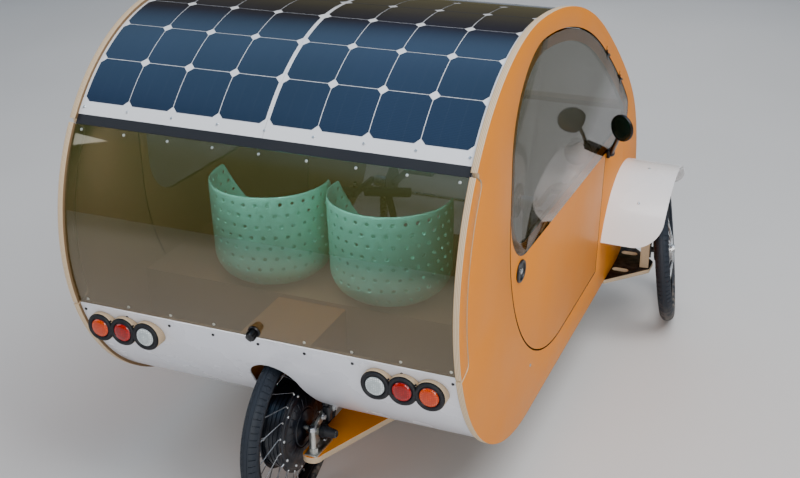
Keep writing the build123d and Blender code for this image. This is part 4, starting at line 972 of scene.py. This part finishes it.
for side, hand in two_sides:
    pane = "door_glass_" + hand
    hinges = split_copy(pane, side, True)
    piece(hinges, "door_hinges_" + hand, black_metal, "door_" + hand, "dark_metal", (pane,), closed=False)
    glass = split_copy(pane, side, False)
    piece(glass, "door_pane_" + hand, door_tint, "door_" + hand, "tinted_glass", (pane,), closed=False)

# %% [markdown]
# The door handle is a black oval plate with a shallow recess and a small bright lock in it. The wing
# mirror is a round black shell on a stalk, with dark glass set in its rear face.

# %% Handles and mirrors
oval = [(-0.0002, 0), (-0.0002, 0.0298), (0.0030, 0.0300), (0.0055, 0.0285), (0.0062, 0.0260),
        (0.0055, 0.0235), (0.0022, 0.0215), (0.0014, 0.0195), (0.0014, 0)]
lock = [(0.0010, 0), (0.0010, 0.0078), (0.0040, 0.0078), (0.0048, 0.0068), (0.0048, 0.0030),
        (0.0030, 0.0028), (0.0030, 0)]
shell = [(-0.0060, 0), (-0.0072, 0.0150), (-0.0068, 0.0300), (-0.0050, 0.0385), (-0.0015, 0.0418),
         (0.0040, 0.0420), (0.0060, 0.0412), (0.0066, 0.0400), (0.0058, 0.0388), (0.0050, 0.0386),
         (0.0050, 0)]
mirror_pane = [(0.0046, 0), (0.0046, 0.0384), (0.0056, 0.0384), (0.0060, 0.0378), (0.0060, 0)]
dark_mirror = plain_finish("dark_mirror_glass", (0.010, 0.018, 0.015), 0.04, strength=0.2, dull=0.03,
                           grain=0.0, coat=1.0)
handle_back = 0.105
handle_z = 0.673
handle_stretch = 1.13
mirror_forward = 0.816
mirror_foot_z = 0.672
for side, hand in two_sides:
    body = "door_" + hand
    place = Matrix.Translation((side * side_outer_x, centre_y + handle_back, handle_z))
    place = place @ Matrix.Rotation(0 if side > 0 else math.pi, 4, "Z")
    place = place @ Matrix.Diagonal((1, handle_stretch, 1, 1))
    spun_piece("handle_plate_" + hand, oval, 48, [place], black_plastic, body, "black_plastic",
               ("door_handle_" + hand,), crease=32)
    spun_piece("handle_lock_" + hand, lock, 24, [place], steel, body, "steel")

    foot = Vector((side * (side_outer_x + 0.012), centre_y - mirror_forward, mirror_foot_z))
    head = foot + Vector((side * 0.062, 0.150, 0.142))
    facing = standing(head, Vector((side * -0.55, 1.0, -0.05)).normalized())
    bm = bmesh.new()
    spun(bm, shell, 48, facing)
    stalk = head - foot
    rod(bm, foot, head - stalk.normalized() * 0.030, 0.0078, 16, 0.85)
    ball = bmesh.new()
    bmesh.ops.create_uvsphere(ball, u_segments=24, v_segments=12, radius=0.0118)
    join_part(bm, ball, Matrix.Translation(foot + stalk.normalized() * 0.004))
    block = rounded_block((0.0118, 0.034, 0.024), 0.0028)
    join_part(bm, block, Matrix.Translation(foot - Vector((side * 0.0060, 0, 0))))
    piece(bm, "mirror_shell_" + hand, black_plastic, body, "black_plastic", ("door_mirror_" + hand,))
    spun_piece("mirror_pane_" + hand, mirror_pane, 48, [facing], dark_mirror, body, "black_plastic")

# %% [markdown]
# The fenders are bent white sheet. Each is held by three round-headed bolts near its inner edge.

# %% Fender bolts
fender_outside = 0.294
fender_forward = 0.011
bolt_x = -0.085
lean = Matrix.Rotation(math.radians(2.3), 4, "Y") @ Matrix.Rotation(math.radians(-2.1), 4, "Z")
place = Matrix.Translation((kingpin_x + hub_offset, front_axle_y - fender_forward, hub_z)) @ lean
for side, hand in two_sides:
    bm = bmesh.new()
    for degrees in (52, 120, 86):
        angle = math.radians(degrees)
        out = Vector((0, math.cos(angle), math.sin(angle)))
        spot = place @ (Vector((bolt_x, 0, 0)) + out * fender_outside)
        out = place.to_3x3() @ out
        spot.x, out.x = side * spot.x, side * out.x
        screw_head(bm, spot, out, 0.0048, 0.0028, 16)
    piece(bm, "fender_bolts_" + hand, steel, "body", "steel", crease=40)

# %% [markdown]
# The seats are pierced plastic tubs, seen through the hatch window. A tub is one spun wall, cut lower
# at the front. In every second row every second face is inset and its middle deleted, which leaves the
# holes. Then the sheet gets its thickness, and one subdivision rounds the holes.

# %% Seat tubs
seat_x = 0.176
seat_y = 0.100
seat_floor = 0.5523
seat_base = 0.003
seat_foot = 0.085
seat_bend = 0.077
bend_angle = 80
bend_steps = 6
seat_wall = 0.165
seat_height = 0.283
seat_columns = 64
wall_rows = 14
wall_base = 0.066
hole_share = 0.6
level_height = 0.0155
hole_inset = 0.0026
rim_line = ((-0.200, 0.105), (-0.168, 0.105), (-0.090, 0.165), (-0.030, 0.279), (0.200, 0.300))


def seat_profile():
    """The middle of the tub's wall as (radius, height) points."""
    points = [(0.020, seat_base), (0.052, seat_base), (seat_foot, seat_base)]
    for step in range(1, bend_steps + 1):
        turn = math.radians(bend_angle * step / bend_steps)
        points.append((seat_foot + seat_bend * math.sin(turn), seat_base + seat_bend * (1 - math.cos(turn))))
    radius, height = points[-1]
    for step in range(1, wall_rows + 1):
        share = step / wall_rows
        points.append((radius + (seat_wall - radius) * share, height + (seat_height - height) * share))
    return points


def rim_height(y):
    for (y0, z0), (y1, z1) in zip(rim_line, rim_line[1:]):
        if y <= y1:
            return z0 + (z1 - z0) * (y - y0) / (y1 - y0)
    return rim_line[-1][1]


for side, hand in two_sides:
    bm = bmesh.new()
    corners = [bm.verts.new((radius, 0, height)) for radius, height in seat_profile()]
    line = [bm.edges.new(pair) for pair in zip(corners, corners[1:])]
    bmesh.ops.spin(bm, geom=corners + line, cent=(0, 0, 0), axis=(0, 0, 1), angle=math.tau,
                   steps=seat_columns, use_merge=True)
    middle = [e for e in bm.edges if e.is_boundary and e.verts[0].co.z < 0.01]
    bmesh.ops.contextual_create(bm, geom=middle)
    full_face = hole_share * math.tau * seat_wall / seat_columns * (seat_height - wall_base) / wall_rows
    for (y0, z0), (y1, z1) in zip(rim_line[1:], rim_line[2:4]):
        near = [f for f in bm.faces if y0 - 0.03 < f.calc_center_median().y < y1 + 0.03]
        geometry = near + list({e for f in near for e in f.edges}) + list({v for f in near for v in f.verts})
        bmesh.ops.bisect_plane(bm, geom=geometry, dist=1e-5, plane_co=(0, y0, z0),
                               plane_no=(0, z0 - z1, y1 - y0))
    above = [f for f in bm.faces if f.calc_center_median().z > rim_height(f.calc_center_median().y)]
    bmesh.ops.delete(bm, geom=above, context="FACES")
    holes = []
    for face in bm.faces:
        spot = face.calc_center_median()
        column = int((math.atan2(spot.y, spot.x) + math.pi) / math.tau * seat_columns)
        level = int(spot.z / level_height)
        inner = all(not e.is_boundary for v in face.verts for e in v.link_edges)
        pattern = level % 2 == 0 and (column + level // 2) % 2 == 0
        if pattern and spot.z > 0.012 and inner and len(face.verts) == 4 and face.calc_area() > full_face:
            holes.append(face)
    bmesh.ops.inset_individual(bm, faces=holes, thickness=hole_inset, use_even_offset=True)
    bmesh.ops.delete(bm, geom=holes, context="FACES")
    bmesh.ops.recalc_face_normals(bm, faces=bm.faces)
    bmesh.ops.translate(bm, verts=bm.verts, vec=(side * seat_x, centre_y + seat_y, seat_floor))
    tub = piece(bm, "seat_tub_" + hand, mint, "body", "mint_plastic", ("seat_" + hand,), crease=60,
                closed=False)
    wall = tub.modifiers.new("wall", "SOLIDIFY")
    wall.thickness = 0.005
    wall.offset = 0
    rounding = tub.modifiers.new("rounding", "SUBSURF")
    rounding.levels = rounding.render_levels = 1
    print("seat", hand, "holes", len(holes))

# %% [markdown]
# The two headlamps sit in the rounded nose. A bright ring and a clear domed lens close each black
# housing.

# %% Headlamps
finish_node(black_plastic, "headlamps")
lamp_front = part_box("headlamps")[0].y
headlamp_x = 0.330
headlamp_z = 0.500
ring = [(-0.002, 0.0385), (-0.002, 0.0425), (0.0015, 0.0420), (0.0020, 0.0400), (0.0008, 0.0385)]
lens = [(-0.0030, 0), (-0.0030, 0.0388), (0.0004, 0.0388), (0.0014, 0.0300), (0.0022, 0.0160), (0.0024, 0)]
facing_front = Matrix.Rotation(-math.pi / 2, 4, "Z")
pair = [Matrix.Translation((x, lamp_front, headlamp_z)) @ facing_front for x in (-headlamp_x, headlamp_x)]
spun_piece("headlamp_rings", ring, 48, pair, steel, "body", "steel")
spun_piece("headlamp_lenses", lens, 48, pair, clear_lens, "body", "clear_lens")

# %% [markdown]
# The floor is one pale flat sheet. Soft area lights stand in for an open sky: a large one overhead, one
# behind the camera, weaker ones from the left and the front, and a faint one inside the hatch. The world
# is a soft gradient. Windows and cells mirror their surroundings, so glossy rays see another gradient:
# a dull street low down and a blue sky straight above.

# %% Floor, lights and sky
bm = bmesh.new()
bmesh.ops.create_grid(bm, x_segments=8, y_segments=8, size=14.0)
bmesh.ops.translate(bm, verts=bm.verts, vec=(0, 0, -0.0005))
floor_mesh = bpy.data.meshes.new("studio_floor")
bm.to_mesh(floor_mesh)
bm.free()
floor_mesh.materials.append(plain_finish("pale_floor", (0.70, 0.685, 0.67), 0.55, scale=1.2, strength=0.05))
floor = add_object("studio_floor", floor_mesh)


def soft_light(name, place, target, size, watts, colour=(1, 1, 1)):
    light = bpy.data.lights.new(name, "AREA")
    light.shape = "RECTANGLE"
    light.size, light.size_y = size
    light.energy = watts
    light.color = colour
    holder = add_object(name, light)
    holder.location = place
    holder.rotation_euler = (Vector(target) - Vector(place)).to_track_quat("-Z", "Y").to_euler()
    return holder


soft_light("sky_overhead", (-2.3, 0.6, 5.2), (0, 0.1, 0.4), (3.6, 4.4), 250)
soft_light("behind_camera", (-2.6, 6.0, 2.6), (0, 0.6, 0.6), (2.6, 2.0), 170, (1.0, 0.985, 0.96))
soft_light("from_the_left", (4.2, 3.0, 2.6), (0, 0.4, 0.5), (2.5, 2.0), 45, (0.93, 0.96, 1.0))
front_light = soft_light("from_the_front", (1.5, -5.0, 3.2), (0, 0, 0.5), (3.5, 2.0), 70)
front_light.visible_glossy = False
cabin_light = soft_light("inside_the_hatch", (0, centre_y + 0.40, 1.02), (0, centre_y + 0.20, 0.66),
                         (0.9, 0.08), 5)
cabin_light.visible_camera = cabin_light.visible_glossy = False

world = bpy.data.worlds.new("soft_sky")
world.use_nodes = True
sky = world.node_tree
place = put(sky, "ShaderNodeTexCoord").outputs["Generated"]
up = part_of(sky, place, "Z")
soft_sky = blend_colour(sky, ramp(sky, up, -0.15, 0.75), (0.92, 0.91, 0.90, 1), (0.60, 0.70, 0.84, 1))
mirrored_sky = blend_colour(sky, ramp(sky, up, 0.50, 0.86), (0.30, 0.27, 0.15, 1), (1.1, 1.9, 2.9, 1))
is_mirrored = put(sky, "ShaderNodeLightPath").outputs["Is Glossy Ray"]
sky_colour = blend_colour(sky, is_mirrored, soft_sky, mirrored_sky)
fill(sky, sky.nodes["Background"], {"Color": sky_colour, "Strength": 0.42})
scene.world = world

# %% [markdown]
# The last cell prints how many pieces were made and how many triangles they hold.

# %% Count the pieces
print("pieces", len(made), "triangles", sum(len(p.vertices) - 2 for t in made for p in t.data.polygons))
